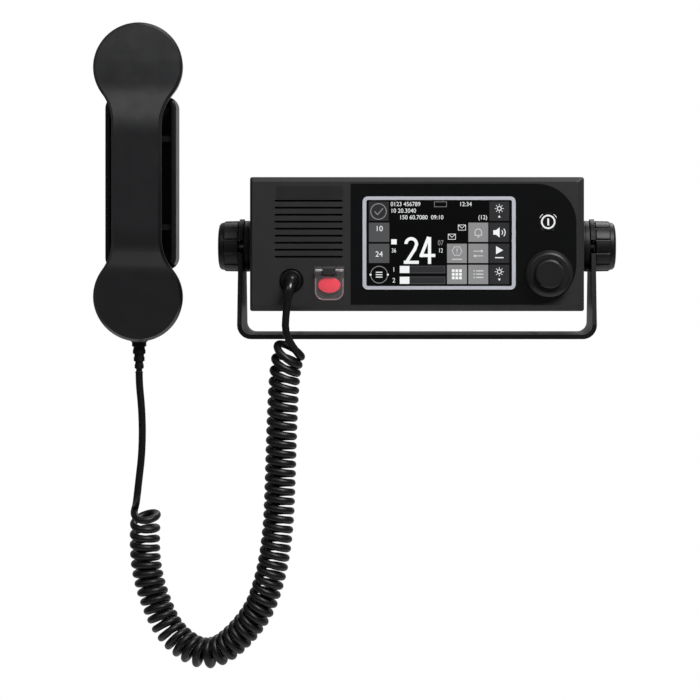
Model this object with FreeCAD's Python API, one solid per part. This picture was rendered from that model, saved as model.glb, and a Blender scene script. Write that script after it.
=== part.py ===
"""A fixed marine radio telephone: a radio with a colour display on a tilting U bracket, and a telephone
handset in its bulkhead cradle beside it, joined by a curly cord that hangs in a free U. Sizes are in millimetres.
+Z is up, +X is to the right of someone facing the display and -Y comes out of the display towards them.
The origin is the centre of the underside of the bracket's base."""
import FreeCAD, Part
import math
import os

V = FreeCAD.Vector
OUT = "parts"

# Radio case and the tilt pivot that runs along X through Y = 0
CASE_WIDTH = 223.0
CASE_HEIGHT = 89.5
CASE_UNDERSIDE_Z = 19.3
FACE_MIDDLE_Z = CASE_UNDERSIDE_Z + 44.4
FRONT_Y = -45.0
BEZEL_DEPTH = 15.0
BEZEL_WALL = 4.0
GASKET_THICKNESS = 1.5
CASE_INSET = 0.6
CASE_WALL = 3.0
CASE_BACK_Y = 40.0
FIN_TIP_Y = 50.0
FIN_COUNT = 21
FIN_PITCH = 9.8
PIVOT_Z = 62.3
BEZEL_BACK_Y = FRONT_Y + BEZEL_DEPTH
WALL_BACK_Y = FRONT_Y + BEZEL_WALL
SHELL_FRONT_Y = BEZEL_BACK_Y + GASKET_THICKNESS
SHELL_HALF = CASE_WIDTH / 2 - CASE_INSET

# Widths of the bezel's slanted edges, seen from the front
BEVEL_LEFT, BEVEL_RIGHT, BEVEL_TOP, BEVEL_BOTTOM = 1.6, 4.2, 3.1, 3.9
BEVEL_DEPTH = 2.4

# Speaker grille: horizontal slots, counted downwards
SLOT_COUNT = 9
SLOT_PITCH = 4.67
SLOT_LENGTH = 45.4
SLOT_HEIGHT = 1.3
SLOT_MIDDLE_X = -72.2
SLOT_TOP_Z = FACE_MIDDLE_Z + 29.3
SPEAKER_Z = SLOT_TOP_Z - SLOT_PITCH * (SLOT_COUNT - 1) / 2

# Glossy face panel with its two large right-hand corners
PANEL_X0, PANEL_X1 = -44.1, 106.3
PANEL_Z0, PANEL_Z1 = FACE_MIDDLE_Z - 39.7, FACE_MIDDLE_Z + 40.6
PANEL_CORNER = 26.5
PANEL_FRONT_Y = FRONT_Y - 0.4
PANEL_BACK_Y = FRONT_Y + 2.4

# Display: a 4.3 inch screen behind a raised metal frame
FRAME_WIDTH, FRAME_HEIGHT, FRAME_CORNER = 102.0, 62.0, 3.5
GLASS_WIDTH, GLASS_HEIGHT = 97.0, 57.4
DISPLAY_X, DISPLAY_Z = 14.75, FACE_MIDDLE_Z + 1.1

# Controls on the face
DIAL_X, DIAL_Z = 88.0, FACE_MIDDLE_Z - 19.2
DIAL_R, DIAL_CAP_R = 15.5, 9.65
KEY_X, KEY_Z, KEY_R = 87.4, FACE_MIDDLE_Z + 15.2, 6.6
CALL_X, CALL_Z = -58.3, FACE_MIDDLE_Z - 26.9
CALL_HALF_WIDTH, CALL_HALF_HEIGHT = 7.4, 5.2
COVER_HALF_WIDTH = 9.65
COVER_HINGE_Y, COVER_HINGE_Z = FRONT_Y - 3.2, FACE_MIDDLE_Z - 17.0
GLAND_X, GLAND_Z = -83.9, FACE_MIDDLE_Z - 24.2

# Sockets in a row under the fins, on the back of the case
SOCKET_Z = CASE_UNDERSIDE_Z + 17.4
ANTENNA_X, POWER_X, GROUND_X = -80.0, 78.0, 48.0
DATA_XS = (-40.0, -12.0, 16.0)
SOCKET_TIP_Y = 54.0

# Bracket: one bent strip, open slots for the clamp studs
STRIP = 3.0
ARM_OUTER = 121.0
BEND_OUTER_R = 9.5
ARM_END_R = 18.5
ARM_TAPER = math.radians(12.3)
SLOT_R = 4.5
BASE_HOLE_R = 3.25
BASE_HOLES_X, BASE_HOLES_Y = 160.0, 30.0

# Clamp knobs, their studs and the friction washers
KNOB_LENGTH = 14.0
KNOB_RIB_R, KNOB_BODY_R = 17.3, 16.4
KNOB_RIBS = 12
STUD_R = 3.9
RUNNING_GAP = 0.06
WASHER_R = 17.4
JOINT_GAP = 0.3

# Handset and cradle: depths are measured from the bulkhead that the cradle is screwed to
BULKHEAD_Y = 12.0
HANDSET_X = -187.8
EAR_Z, MOUTH_Z = 183.8, 27.9
CAP_R = 30.3
GRIP_HALF = 16.0
NECK_R = 34.0
RIM_WIDTH = 2.0
DRAFT = 0.08
RIM_Y = BULKHEAD_Y - 43.0
CRADLE_HALF = 24.1
CRADLE_Z0, CRADLE_Z1 = 45.7, 165.1
CRADLE_DEPTH = 25.0
CRADLE_WALL = 3.0
CRADLE_FLOOR = 3.5

CRADLE_MIDDLE_Z = (CRADLE_Z0 + CRADLE_Z1) / 2
CRADLE_SCREWS = 80.0
SADDLES = 60.0
SADDLE_DEPTH = 29.5
PAD_THICKNESS = 1.2
PTT_Z0, PTT_Z1 = 92.0, 128.0
PTT_HALF = 7.0
STRAIN_X = HANDSET_X - 0.8
STRAIN_Y = BULKHEAD_Y - 26.0
STRAIN_TOP_Z = MOUTH_Z - CAP_R + 2.6
STRAIN_LENGTH = 23.4

# Side view of the handset: (height, depth) corners of its outer face, how far in the two shells part,
# and the whole thickness of the grip
ARCH = [(MOUTH_Z - 40, 37.0), (MOUTH_Z - 4, 43.0), (MOUTH_Z + 17, 45.5), (MOUTH_Z + 38, 54.0),
        (EAR_Z - 38, 54.0), (EAR_Z - 17, 45.5), (EAR_Z + 4, 43.0), (EAR_Z + 40, 37.0)]
ARCH_RADII = [0, 60, 40, 40, 40, 40, 60, 0]
PARTING_IN = 12.0
GRIP_THICKNESS = 23.0

# Rubber boot: an elbow that turns the cord down
BOOT_R = 5.25
BOOT_BEND_R = 7.8
BOOT_LEAN = math.radians(8)
BOOT_FRONT_Y = WALL_BACK_Y + 4 - 7.4
CORD_FRONT_Y = -55.0

# Cord: one conductor sheath, curled for most of its length
CORD_D = 4.7
CURL_R = 7.9
HALF_CURLS = 107
LEAST_GAP = 0.42
CORD_SIDES = 6
LEG_PITCH = 6.1
RADIO_END_LIFT, RADIO_END_FADE = 7.5, 3.0
HANDSET_END_LIFT, HANDSET_END_FADE = 5.0, 1.2

# Routes of the straight ends, and of the curls' axis in a plane that runs from the gland back to the handset
RADIO_LEAD = [(-87.0, CORD_FRONT_Y, 17.5), (-87.3, CORD_FRONT_Y, 8.5)]
HANDSET_LEAD = [(-187.0, -13.8, -46.0), (-186.4, -13.4, -63.0), (-187.0, -13.1, -80.0),
                (-188.7, -12.9, -94.5), (-190.0, -12.7, -106.0)]
CURL_AXIS = [(-84.4, -8.5), (-87.3, -17.0), (-89.0, -34.0), (-90.3, -62.0), (-91.2, -95.0), (-92.6, -128.0),
             (-97.8, -160.0), (-108.5, -188.0), (-138.0, -216.5), (-166.5, -203.5), (-181.0, -173.0),
             (-186.6, -145.0), (-184.8, -122.0)]
PLANE_START_X = -86.4
PLANE_START_Y = -47.1
PLANE_SLOPE = -0.412


def unit(vector):
    """The vector's direction."""
    copy = V(vector)
    copy.normalize()
    return copy


def save(name, shape):
    """Writes one piece as a file of its own."""
    shape.exportStep(os.path.join(OUT, name + ".step"))


def block(x0, x1, y0, y1, z0, z1):
    """Box between two corners."""
    return Part.makeBox(x1 - x0, y1 - y0, z1 - z0, V(x0, y0, z0))


def rod(radius, start, end):
    """Cylinder between two points."""
    return Part.makeCylinder(radius, (end - start).Length, start, end - start)


def rounded_wire(corners, radii):
    """Closed flat outline through the corners, each rounded by its own radius."""
    starts, arcs, ends = [], [], []
    count = len(corners)
    for i, corner in enumerate(corners):
        back = unit(corners[i - 1] - corner)
        ahead = unit(corners[(i + 1) % count] - corner)
        half_turn = (math.pi - back.getAngle(ahead)) / 2
        cut = radii[i] * math.tan(half_turn)
        starts.append(corner + back * cut)
        ends.append(corner + ahead * cut)
        if radii[i]:
            rise = radii[i] / math.cos(half_turn) - radii[i]
            middle = corner + unit(back + ahead) * rise
            arcs.append(Part.Arc(starts[-1], middle, ends[-1]).toShape())
        else:
            arcs.append(None)
    edges = []
    for i in range(count):
        if arcs[i]:
            edges.append(arcs[i])
        after = starts[(i + 1) % count]
        if (after - ends[i]).Length > 1e-4:
            edges.append(Part.LineSegment(ends[i], after).toShape())
    return Part.Wire(edges)


def prism(corners, radii, direction):
    """Solid between a rounded flat outline and its copy moved along the direction."""
    if not isinstance(radii, (list, tuple)):
        radii = [radii] * len(corners)
    return Part.Face(rounded_wire(corners, radii)).extrude(direction)


def face_plate(x0, x1, z0, z1, y0, y1, radii):
    """Plate parallel to the radio's face. Radii run from its lower left corner, anticlockwise."""
    corners = [V(x0, y0, z0), V(x1, y0, z0), V(x1, y0, z1), V(x0, y0, z1)]
    return prism(corners, radii, V(0, y1 - y0, 0))


def centred_plate(x, z, width, height, y0, y1, radius):
    """Plate parallel to the radio's face, about a centre."""
    return face_plate(x - width / 2, x + width / 2, z - height / 2, z + height / 2, y0, y1, radius)


def turned(profile, start, axis):
    """Solid of revolution. The profile's pairs are (distance along the axis, radius)."""
    points = [V(radius, 0, along) for along, radius in profile]
    face = Part.Face(Part.makePolygon(points + [points[0]]))
    solid = face.revolve(V(0, 0, 0), V(0, 0, 1), 360)
    solid.Placement = FreeCAD.Placement(start, FreeCAD.Rotation(V(0, 0, 1), axis))
    return solid


def oval(x, z, half_width, half_height, y0, y1):
    """Elliptical bar parallel to Y."""
    curve = Part.Ellipse(V(0, 0, 0), half_width, half_height).toShape()
    bar = Part.Face(Part.Wire([curve])).extrude(V(0, 0, y1 - y0))
    bar.Placement = FreeCAD.Placement(V(x, y0, z), FreeCAD.Rotation(V(1, 0, 0), -90))
    return bar


def mirrored(shape):
    """The same piece on the other side of the radio."""
    return shape.mirror(V(0, 0, 0), V(1, 0, 0))


def bracket():
    """Bent strip with tapered, round-ended arms, cut as a U and then to its side view."""
    inner = ARM_OUTER - STRIP
    top = PIVOT_Z + ARM_END_R
    depth = 70.0
    corners = [V(-ARM_OUTER, -depth / 2, top), V(-ARM_OUTER, -depth / 2, 0), V(ARM_OUTER, -depth / 2, 0),
               V(ARM_OUTER, -depth / 2, top), V(inner, -depth / 2, top), V(inner, -depth / 2, STRIP),
               V(-inner, -depth / 2, STRIP), V(-inner, -depth / 2, top)]
    bend_inner = BEND_OUTER_R - STRIP
    radii = [0, BEND_OUTER_R, BEND_OUTER_R, 0, 0, bend_inner, bend_inner, 0]
    strip = prism(corners, radii, V(0, depth, 0))
    slope = math.tan(ARM_TAPER)
    at_pivot = ARM_END_R / math.cos(ARM_TAPER)
    at_base = at_pivot + (PIVOT_Z - BEND_OUTER_R) * slope
    at_top = at_pivot - ARM_END_R * slope
    left = -ARM_OUTER - 1
    side = [V(left, -at_base, -1), V(left, at_base, -1), V(left, at_base, BEND_OUTER_R),
            V(left, at_top, top), V(left, -at_top, top), V(left, -at_base, BEND_OUTER_R)]
    body = strip.common(prism(side, [0, 0, 6, ARM_END_R, ARM_END_R, 6], V(2 * ARM_OUTER + 2, 0, 0)))
    cuts = [block(-ARM_OUTER - 1, ARM_OUTER + 1, -depth, 0, PIVOT_Z - SLOT_R, PIVOT_Z + SLOT_R),
            rod(SLOT_R, V(-ARM_OUTER - 1, 0, PIVOT_Z), V(ARM_OUTER + 1, 0, PIVOT_Z))]
    for x in (-BASE_HOLES_X / 2, BASE_HOLES_X / 2):
        for y in (-BASE_HOLES_Y / 2, BASE_HOLES_Y / 2):
            cuts.append(rod(BASE_HOLE_R, V(x, y, -1), V(x, y, STRIP + 1)))
    return body.cut(cuts)


def clamp_knob():
    """Right-hand knob: a round-ended body with a ribbed grip next to the bracket's arm."""
    start = ARM_OUTER + JOINT_GAP
    profile = [(0, 0), (0, KNOB_RIB_R - 0.6), (0.6, KNOB_RIB_R), (9.4, KNOB_RIB_R - 0.2),
               (10.1, KNOB_BODY_R), (12.4, KNOB_BODY_R - 0.6), (13.5, KNOB_BODY_R - 1.8),
               (KNOB_LENGTH, KNOB_BODY_R - 4.0), (KNOB_LENGTH, 0)]
    knob = turned(profile, V(start, 0, PIVOT_Z), V(1, 0, 0))
    grooves = []
    for i in range(KNOB_RIBS):
        angle = 2 * math.pi * (i + 0.5) / KNOB_RIBS
        reach = KNOB_RIB_R + 0.2
        centre = V(start - 1, reach * math.sin(angle), PIVOT_Z + reach * math.cos(angle))
        grooves.append(rod(1.15, centre, centre + V(KNOB_LENGTH + 2, 0, 0)))
    bore = rod(STUD_R, V(start - 1, 0, PIVOT_Z), V(start + 9, 0, PIVOT_Z))
    return knob.cut(grooves + [bore])


def knob_stud():
    """Right-hand stud, from inside the knob through the arm's slot and the washer into the case."""
    start = ARM_OUTER + JOINT_GAP + 9
    profile = [(0, 0), (0, STUD_R), (34, STUD_R), (35, STUD_R - 1), (35, 0)]
    return turned(profile, V(start, 0, PIVOT_Z), V(-1, 0, 0))


def friction_washer():
    """Right-hand washer between the case and the bracket's arm, with a turned groove round its rim."""
    thickness = ARM_OUTER - STRIP - JOINT_GAP - SHELL_HALF
    bore = SLOT_R
    profile = [(0, bore), (0, WASHER_R), (2.2, WASHER_R), (2.6, WASHER_R - 0.5), (3.4, WASHER_R - 0.5),
               (3.8, WASHER_R), (thickness - 0.5, WASHER_R), (thickness, WASHER_R - 0.5), (thickness, bore)]
    return turned(profile, V(SHELL_HALF, 0, PIVOT_Z), V(1, 0, 0))


def front_bezel():
    """Moulded front: bevelled rim, open back, and the pockets for everything that sits in the face."""
    half = CASE_WIDTH / 2
    z0, z1 = CASE_UNDERSIDE_Z, CASE_UNDERSIDE_Z + CASE_HEIGHT
    bevel_y = FRONT_Y + BEVEL_DEPTH
    rim = face_plate(-half, half, z0, z1, bevel_y, BEZEL_BACK_Y, 1.6)
    outer = [V(-half, bevel_y, z0), V(half, bevel_y, z0), V(half, bevel_y, z1), V(-half, bevel_y, z1)]
    left, right = -half + BEVEL_LEFT, half - BEVEL_RIGHT
    low, high = z0 + BEVEL_BOTTOM, z1 - BEVEL_TOP
    inner = [V(left, FRONT_Y, low), V(right, FRONT_Y, low), V(right, FRONT_Y, high), V(left, FRONT_Y, high)]
    bevel = Part.makeLoft([rounded_wire(outer, [1.6] * 4), rounded_wire(inner, [1.2] * 4)], True, True)
    body = rim.fuse(bevel)
    hollow = face_plate(-half + 4, half - 4, z0 + 4, z1 - 4, WALL_BACK_Y, BEZEL_BACK_Y, 2)
    panel_pocket = face_plate(PANEL_X0, PANEL_X1, PANEL_Z0, PANEL_Z1, FRONT_Y - 1, PANEL_BACK_Y,
                              [0, PANEL_CORNER, PANEL_CORNER, 0])
    window = centred_plate(DISPLAY_X, DISPLAY_Z, FRAME_WIDTH, FRAME_HEIGHT, FRONT_Y, BEZEL_BACK_Y,
                           FRAME_CORNER)
    cuts = [hollow, panel_pocket, window]
    for i in range(SLOT_COUNT):
        z = SLOT_TOP_Z - i * SLOT_PITCH
        cuts.append(centred_plate(SLOT_MIDDLE_X, z, SLOT_LENGTH, SLOT_HEIGHT, FRONT_Y - 1, BEZEL_BACK_Y,
                                  SLOT_HEIGHT / 2))
    cuts.append(rod(8.3, V(GLAND_X, FRONT_Y - 1, GLAND_Z), V(GLAND_X, FRONT_Y + 2.4, GLAND_Z)))
    cuts.append(rod(5.5, V(GLAND_X, FRONT_Y, GLAND_Z), V(GLAND_X, BEZEL_BACK_Y, GLAND_Z)))
    cuts.append(oval(CALL_X, CALL_Z, CALL_HALF_WIDTH + 0.3, CALL_HALF_HEIGHT + 0.3, FRONT_Y - 1,
                     BEZEL_BACK_Y))
    cuts.append(rod(KEY_R + 0.3, V(KEY_X, FRONT_Y, KEY_Z), V(KEY_X, BEZEL_BACK_Y, KEY_Z)))
    cuts.append(rod(3.6, V(DIAL_X, FRONT_Y, DIAL_Z), V(DIAL_X, BEZEL_BACK_Y, DIAL_Z)))
    return body.cut(cuts)


def face_panel():
    """Glossy panel round the display, power key and dial."""
    panel = face_plate(PANEL_X0, PANEL_X1, PANEL_Z0, PANEL_Z1, PANEL_FRONT_Y, PANEL_BACK_Y,
                       [0, PANEL_CORNER, PANEL_CORNER, 0])
    window = centred_plate(DISPLAY_X, DISPLAY_Z, FRAME_WIDTH, FRAME_HEIGHT, FRONT_Y - 1, BEZEL_BACK_Y,
                           FRAME_CORNER)
    key_hole = rod(KEY_R + 0.3, V(KEY_X, FRONT_Y - 1, KEY_Z), V(KEY_X, BEZEL_BACK_Y, KEY_Z))
    shaft_hole = rod(3.6, V(DIAL_X, FRONT_Y - 1, DIAL_Z), V(DIAL_X, BEZEL_BACK_Y, DIAL_Z))
    return panel.cut([window, key_hole, shaft_hole])


def display_frame():
    """Raised metal frame round the screen."""
    y0, y1 = PANEL_FRONT_Y - 0.8, PANEL_BACK_Y - 1.0
    outer = centred_plate(DISPLAY_X, DISPLAY_Z, FRAME_WIDTH, FRAME_HEIGHT, y0, y1, FRAME_CORNER)
    inner = centred_plate(DISPLAY_X, DISPLAY_Z, GLASS_WIDTH, GLASS_HEIGHT, y0 - 1, y1 + 1, 1.2)
    return outer.cut(inner)


def screen_glass():
    """Touch screen, set back inside its frame."""
    return centred_plate(DISPLAY_X, DISPLAY_Z, GLASS_WIDTH, GLASS_HEIGHT, PANEL_FRONT_Y - 0.2,
                         PANEL_BACK_Y - 1.0, 1.2)


def display_module():
    """Backlit display module behind the screen."""
    y0 = PANEL_BACK_Y - 1.0
    return centred_plate(DISPLAY_X, DISPLAY_Z, FRAME_WIDTH - 0.6, FRAME_HEIGHT - 0.6, y0, y0 + 7.4,
                         FRAME_CORNER)


def case_shell():
    """Cast rear housing: open front, upright cooling fins, and bushes for the clamp studs."""
    half = SHELL_HALF
    z0, z1 = CASE_UNDERSIDE_Z + CASE_INSET, CASE_UNDERSIDE_Z + CASE_HEIGHT - CASE_INSET
    outer = face_plate(-half, half, z0, z1, SHELL_FRONT_Y, CASE_BACK_Y, 3)
    hollow = face_plate(-half + CASE_WALL, half - CASE_WALL, z0 + CASE_WALL, z1 - CASE_WALL,
                        SHELL_FRONT_Y - 1, CASE_BACK_Y - CASE_WALL, 2)
    bushes = [rod(8, V(side * (half - 18), 0, PIVOT_Z), V(side * (half - 1), 0, PIVOT_Z))
              for side in (-1, 1)]
    fins = []
    for i in range(FIN_COUNT):
        x = (i - (FIN_COUNT - 1) / 2) * FIN_PITCH
        section = [V(x - 1.7, CASE_BACK_Y - 1, z1 - 52), V(x + 1.7, CASE_BACK_Y - 1, z1 - 52),
                   V(x + 1.0, FIN_TIP_Y, z1 - 52), V(x - 1.0, FIN_TIP_Y, z1 - 52)]
        fins.append(prism(section, [0, 0, 0.8, 0.8], V(0, 0, 49)))
    body = outer.cut(hollow).fuse(bushes + fins)
    bores = [rod(STUD_R + RUNNING_GAP, V(side * (half - 19), 0, PIVOT_Z), V(side * (half + 1), 0, PIVOT_Z))
             for side in (-1, 1)]
    sockets = [rod(8.2, V(ANTENNA_X, CASE_BACK_Y - 6, SOCKET_Z), V(ANTENNA_X, CASE_BACK_Y + 1, SOCKET_Z))]
    for x in DATA_XS:
        sockets.append(rod(8.2, V(x, CASE_BACK_Y - 6, SOCKET_Z), V(x, CASE_BACK_Y + 1, SOCKET_Z)))
    sockets.append(centred_plate(POWER_X, SOCKET_Z, 24, 12, CASE_BACK_Y - 6, CASE_BACK_Y + 1, 2))
    return body.cut(bores + sockets)


def front_gasket():
    """Sealing ring between the bezel and the case."""
    half = SHELL_HALF
    z0, z1 = CASE_UNDERSIDE_Z + CASE_INSET, CASE_UNDERSIDE_Z + CASE_HEIGHT - CASE_INSET
    ring = face_plate(-half + 0.6, half - 0.6, z0 + 0.6, z1 - 0.6, BEZEL_BACK_Y, SHELL_FRONT_Y, 2.4)
    return ring.cut(face_plate(-half + 4, half - 4, z0 + 4, z1 - 4, BEZEL_BACK_Y - 1, SHELL_FRONT_Y + 1, 2))


def speaker_mesh():
    """Woven screen behind the grille's slots."""
    height = SLOT_PITCH * SLOT_COUNT + 6
    return centred_plate(SLOT_MIDDLE_X, SPEAKER_Z, SLOT_LENGTH + 5, height, WALL_BACK_Y,
                         WALL_BACK_Y + 0.4, 2)


def speaker_frame():
    """Pressed basket and magnet of the loudspeaker."""
    profile = [(0, 20.5), (0, 24), (1.5, 24), (1.5, 21.5), (10, 14), (10, 16), (19, 16), (19, 0), (8.4, 0),
               (8.4, 13), (1.5, 20)]
    return turned(profile, V(SLOT_MIDDLE_X, WALL_BACK_Y + 0.4, SPEAKER_Z), V(0, 1, 0))


def speaker_cone():
    """Paper cone with its dust cap."""
    profile = [(1.0, 20), (1.5, 20), (8.2, 7), (8.2, 0), (6.4, 0), (6.9, 4), (7.6, 6.6)]
    return turned(profile, V(SLOT_MIDDLE_X, WALL_BACK_Y + 0.4, SPEAKER_Z), V(0, 1, 0))


def dial_ring():
    """Outer ring of the rotary dial, with a well for its push cap."""
    well = DIAL_CAP_R + JOINT_GAP
    profile = [(0, 3.0), (0, DIAL_R - 0.7), (0.9, DIAL_R), (5.2, DIAL_R), (7.3, DIAL_R - 1.6),
               (8.0, DIAL_R - 2.8), (8.0, well), (3.4, well), (3.4, 3.0)]
    return turned(profile, V(DIAL_X, PANEL_FRONT_Y - 0.4, DIAL_Z), V(0, -1, 0))


def dial_cap():
    """Push cap in the middle of the dial, with two finger notches on one diagonal."""
    start_y = PANEL_FRONT_Y - 0.4 - 3.4 - 1.1
    profile = [(0, 0), (0, DIAL_CAP_R), (7.0, DIAL_CAP_R), (8.0, DIAL_CAP_R - 0.5), (8.5, DIAL_CAP_R - 1.4),
               (8.5, 0)]
    cap = turned(profile, V(DIAL_X, start_y, DIAL_Z), V(0, -1, 0))
    notches = []
    for side in (-1, 1):
        reach = side * DIAL_CAP_R * math.sqrt(0.5)
        centre = V(DIAL_X + reach, start_y - 6.2, DIAL_Z + reach)
        notches.append(rod(0.9, centre, centre - V(0, 4, 0)))
    return cap.cut(notches)


def dial_shaft():
    """Shaft from the ring into the encoder behind the face."""
    return rod(3.0, V(DIAL_X, PANEL_FRONT_Y - 0.4 - 3.4, DIAL_Z), V(DIAL_X, WALL_BACK_Y + 5, DIAL_Z))


def encoder():
    """Rotary encoder body and its threaded neck."""
    body = centred_plate(DIAL_X, DIAL_Z, 13, 13, WALL_BACK_Y, WALL_BACK_Y + 8, 1)
    bore = rod(3.0 + RUNNING_GAP, V(DIAL_X, WALL_BACK_Y - 1, DIAL_Z), V(DIAL_X, WALL_BACK_Y + 5.4, DIAL_Z))
    return body.cut(bore)


def power_key():
    """Round key with a crowned face and a retaining flange behind the wall."""
    profile = [(0, 0), (0, KEY_R + 1.4), (1.0, KEY_R + 1.4), (1.0, KEY_R), (5.9, KEY_R), (6.3, KEY_R - 0.5),
               (6.5, KEY_R - 2.5), (6.5, 0)]
    return turned(profile, V(KEY_X, WALL_BACK_Y + 1.3, KEY_Z), V(0, -1, 0))


def key_switch():
    """Switch that the power key presses."""
    return centred_plate(KEY_X, KEY_Z, 12, 12, WALL_BACK_Y + 2.5, WALL_BACK_Y + 6, 0.8)


def call_button():
    """Oval alert button with a crowned face and a flange behind the wall."""
    stem = oval(CALL_X, CALL_Z, CALL_HALF_WIDTH, CALL_HALF_HEIGHT, FRONT_Y - 3.0, WALL_BACK_Y + 0.3)
    dome = Part.makeSphere(24, V(CALL_X, FRONT_Y - 3.0 + 24, CALL_Z))
    flange = oval(CALL_X, CALL_Z, CALL_HALF_WIDTH + 1.3, CALL_HALF_HEIGHT + 1.3, WALL_BACK_Y + 0.3,
                  WALL_BACK_Y + 1.3)
    return stem.common(dome).fuse(flange)


def call_switch():
    """Switch that the alert button presses."""
    return centred_plate(CALL_X, CALL_Z, 12, 9, WALL_BACK_Y + 2.9, WALL_BACK_Y + 6.5, 0.8)


def cover_hinge():
    """Hinge block on the face that carries the cover's pin."""
    y0, y1 = FRONT_Y - 5.3, FRONT_Y
    z0, z1 = COVER_HINGE_Z - 3.5, COVER_HINGE_Z + 2.9
    x = CALL_X - 4.2
    corners = [V(x, y1, z0), V(x, y1, z1), V(x, y0, z1), V(x, y0, z0)]
    return prism(corners, [0, 0, 2.0, 1.0], V(8.4, 0, 0)).cut(hinge_pin())


def hinge_pin():
    """Steel pin that the cover swings on."""
    reach = COVER_HALF_WIDTH - 0.4
    middle = V(CALL_X, COVER_HINGE_Y, COVER_HINGE_Z)
    return rod(0.8, middle - V(reach, 0, 0), middle + V(reach, 0, 0))


def call_cover():
    """Clear hinged guard: a thin plate with side walls, a curved lower lip and two hinge ears."""
    x0, x1 = CALL_X - COVER_HALF_WIDTH, CALL_X + COVER_HALF_WIDTH
    z0, z1 = CALL_Z - 10.0, COVER_HINGE_Z - 3.8
    front, back = FRONT_Y - 6.4, FRONT_Y - 0.6
    outer = face_plate(x0, x1, z0, z1, front, back, [6.5, 6.5, 0, 0])
    inner = face_plate(x0 + 1, x1 - 1, z0 + 1, z1 + 1, front + 1, back + 1, [5.5, 5.5, 0, 0])
    shell = outer.cut(inner)
    ears = []
    for side in (-1, 1):
        x = CALL_X + side * (COVER_HALF_WIDTH - 2.45) - 2.45
        corners = [V(x, back - 0.1, z1 - 0.1), V(x, back - 0.1, COVER_HINGE_Z + 2.6),
                   V(x, front + 0.7, COVER_HINGE_Z + 2.6), V(x, front, z1 - 0.1)]
        ears.append(prism(corners, [0, 2.3, 2.3, 0], V(4.9, 0, 0)))
    bore = rod(0.8 + RUNNING_GAP, V(x0 - 1, COVER_HINGE_Y, COVER_HINGE_Z),
               V(x1 + 1, COVER_HINGE_Y, COVER_HINGE_Z))
    gap = block(CALL_X - 4.7, CALL_X + 4.7, front - 1, back + 1, z1, COVER_HINGE_Z + 5)
    return shell.fuse(ears).cut([bore, gap])


def cord_gland():
    """Bush through the face with its lock nut behind the wall."""
    profile = [(0, 0), (0, 8), (4, 8), (4, 5.5), (5.6, 5.5), (5.6, 7.4), (6.8, 7.4), (7.4, 6.6), (7.4, 0)]
    return turned(profile, V(GLAND_X, WALL_BACK_Y + 4, GLAND_Z), V(0, -1, 0))


def boot_frame():
    """Where the boot's bend ends, and the direction that the cord leaves it in."""
    down = V(-math.sin(BOOT_LEAN), 0, -math.cos(BOOT_LEAN))
    return V(GLAND_X, CORD_FRONT_Y, GLAND_Z) + down * BOOT_BEND_R, down


def cord_boot():
    """Rubber elbow that turns the cord down, with a tapering tail."""
    bend_end, down = boot_frame()
    start = V(GLAND_X, BOOT_FRONT_Y, GLAND_Z)
    bend_start = V(GLAND_X, CORD_FRONT_Y + BOOT_BEND_R, GLAND_Z)
    centre = bend_start + down * BOOT_BEND_R
    middle = centre + unit(bend_start - centre + bend_end - centre) * BOOT_BEND_R
    bend = Part.Wire([Part.LineSegment(start, bend_start).toShape(),
                      Part.Arc(bend_start, middle, bend_end).toShape()])
    profile = Part.Wire([Part.makeCircle(BOOT_R, start, V(0, 1, 0))])
    elbow = bend.makePipeShell([profile], True, True)
    tail = turned([(0, 0), (0, BOOT_R), (2.8, BOOT_R - 0.9), (4.0, BOOT_R - 1.6), (4.0, 0)], bend_end, down)
    return elbow.fuse(tail)


def main_board():
    """Circuit board across the case."""
    z0 = CASE_UNDERSIDE_Z + 6
    return block(-100, 100, -14, -12.4, z0, z0 + 76)


def transmitter_module():
    """Screened transmitter block that warms the finned back."""
    return centred_plate(0, PIVOT_Z + 18, 130, 46, 12, CASE_BACK_Y - CASE_WALL, 2)


def antenna_socket():
    """Coaxial socket: square flange, threaded barrel and the open centre of its insulator."""
    flange = centred_plate(ANTENNA_X, SOCKET_Z, 25, 25, CASE_BACK_Y, CASE_BACK_Y + 2.5, 2)
    barrel = turned([(0, 0), (0, 7.94), (19, 7.94), (19.8, 7.2), (19.8, 5.6), (13, 5.6), (13, 0)],
                    V(ANTENNA_X, CASE_BACK_Y - 5.8, SOCKET_Z), V(0, 1, 0))
    return flange.fuse(barrel)


def data_socket(x):
    """Round screened socket for a data or loudspeaker plug."""
    profile = [(0, 0), (0, 8), (5.8, 8), (5.8, 9.5), (8.2, 9.5), (8.2, 8), (17, 8), (17, 6.6), (9, 6.6),
               (9, 0)]
    return turned(profile, V(x, CASE_BACK_Y - 5.8, SOCKET_Z), V(0, 1, 0))


def power_socket():
    """Two-pole supply socket with its shroud open to the rear."""
    y0 = CASE_BACK_Y - 5.8
    shroud = centred_plate(POWER_X, SOCKET_Z, 23.6, 11.6, y0, SOCKET_TIP_Y, 2)
    flange = centred_plate(POWER_X, SOCKET_Z, 30, 17, CASE_BACK_Y, CASE_BACK_Y + 2, 2)
    hollow = centred_plate(POWER_X, SOCKET_Z, 20.6, 8.6, CASE_BACK_Y + 3, SOCKET_TIP_Y + 1, 1)
    pins = [rod(1.5, V(POWER_X + dx, CASE_BACK_Y, SOCKET_Z), V(POWER_X + dx, SOCKET_TIP_Y - 2, SOCKET_Z))
            for dx in (-5, 5)]
    return shroud.fuse(flange).cut(hollow).fuse(pins)


def ground_terminal():
    """Earth stud with its nut."""
    stud = rod(2.5, V(GROUND_X, CASE_BACK_Y, SOCKET_Z), V(GROUND_X, CASE_BACK_Y + 12, SOCKET_Z))
    return stud.fuse(hex_bar(V(GROUND_X, CASE_BACK_Y + 2, SOCKET_Z), 5.2, 4))


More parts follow.
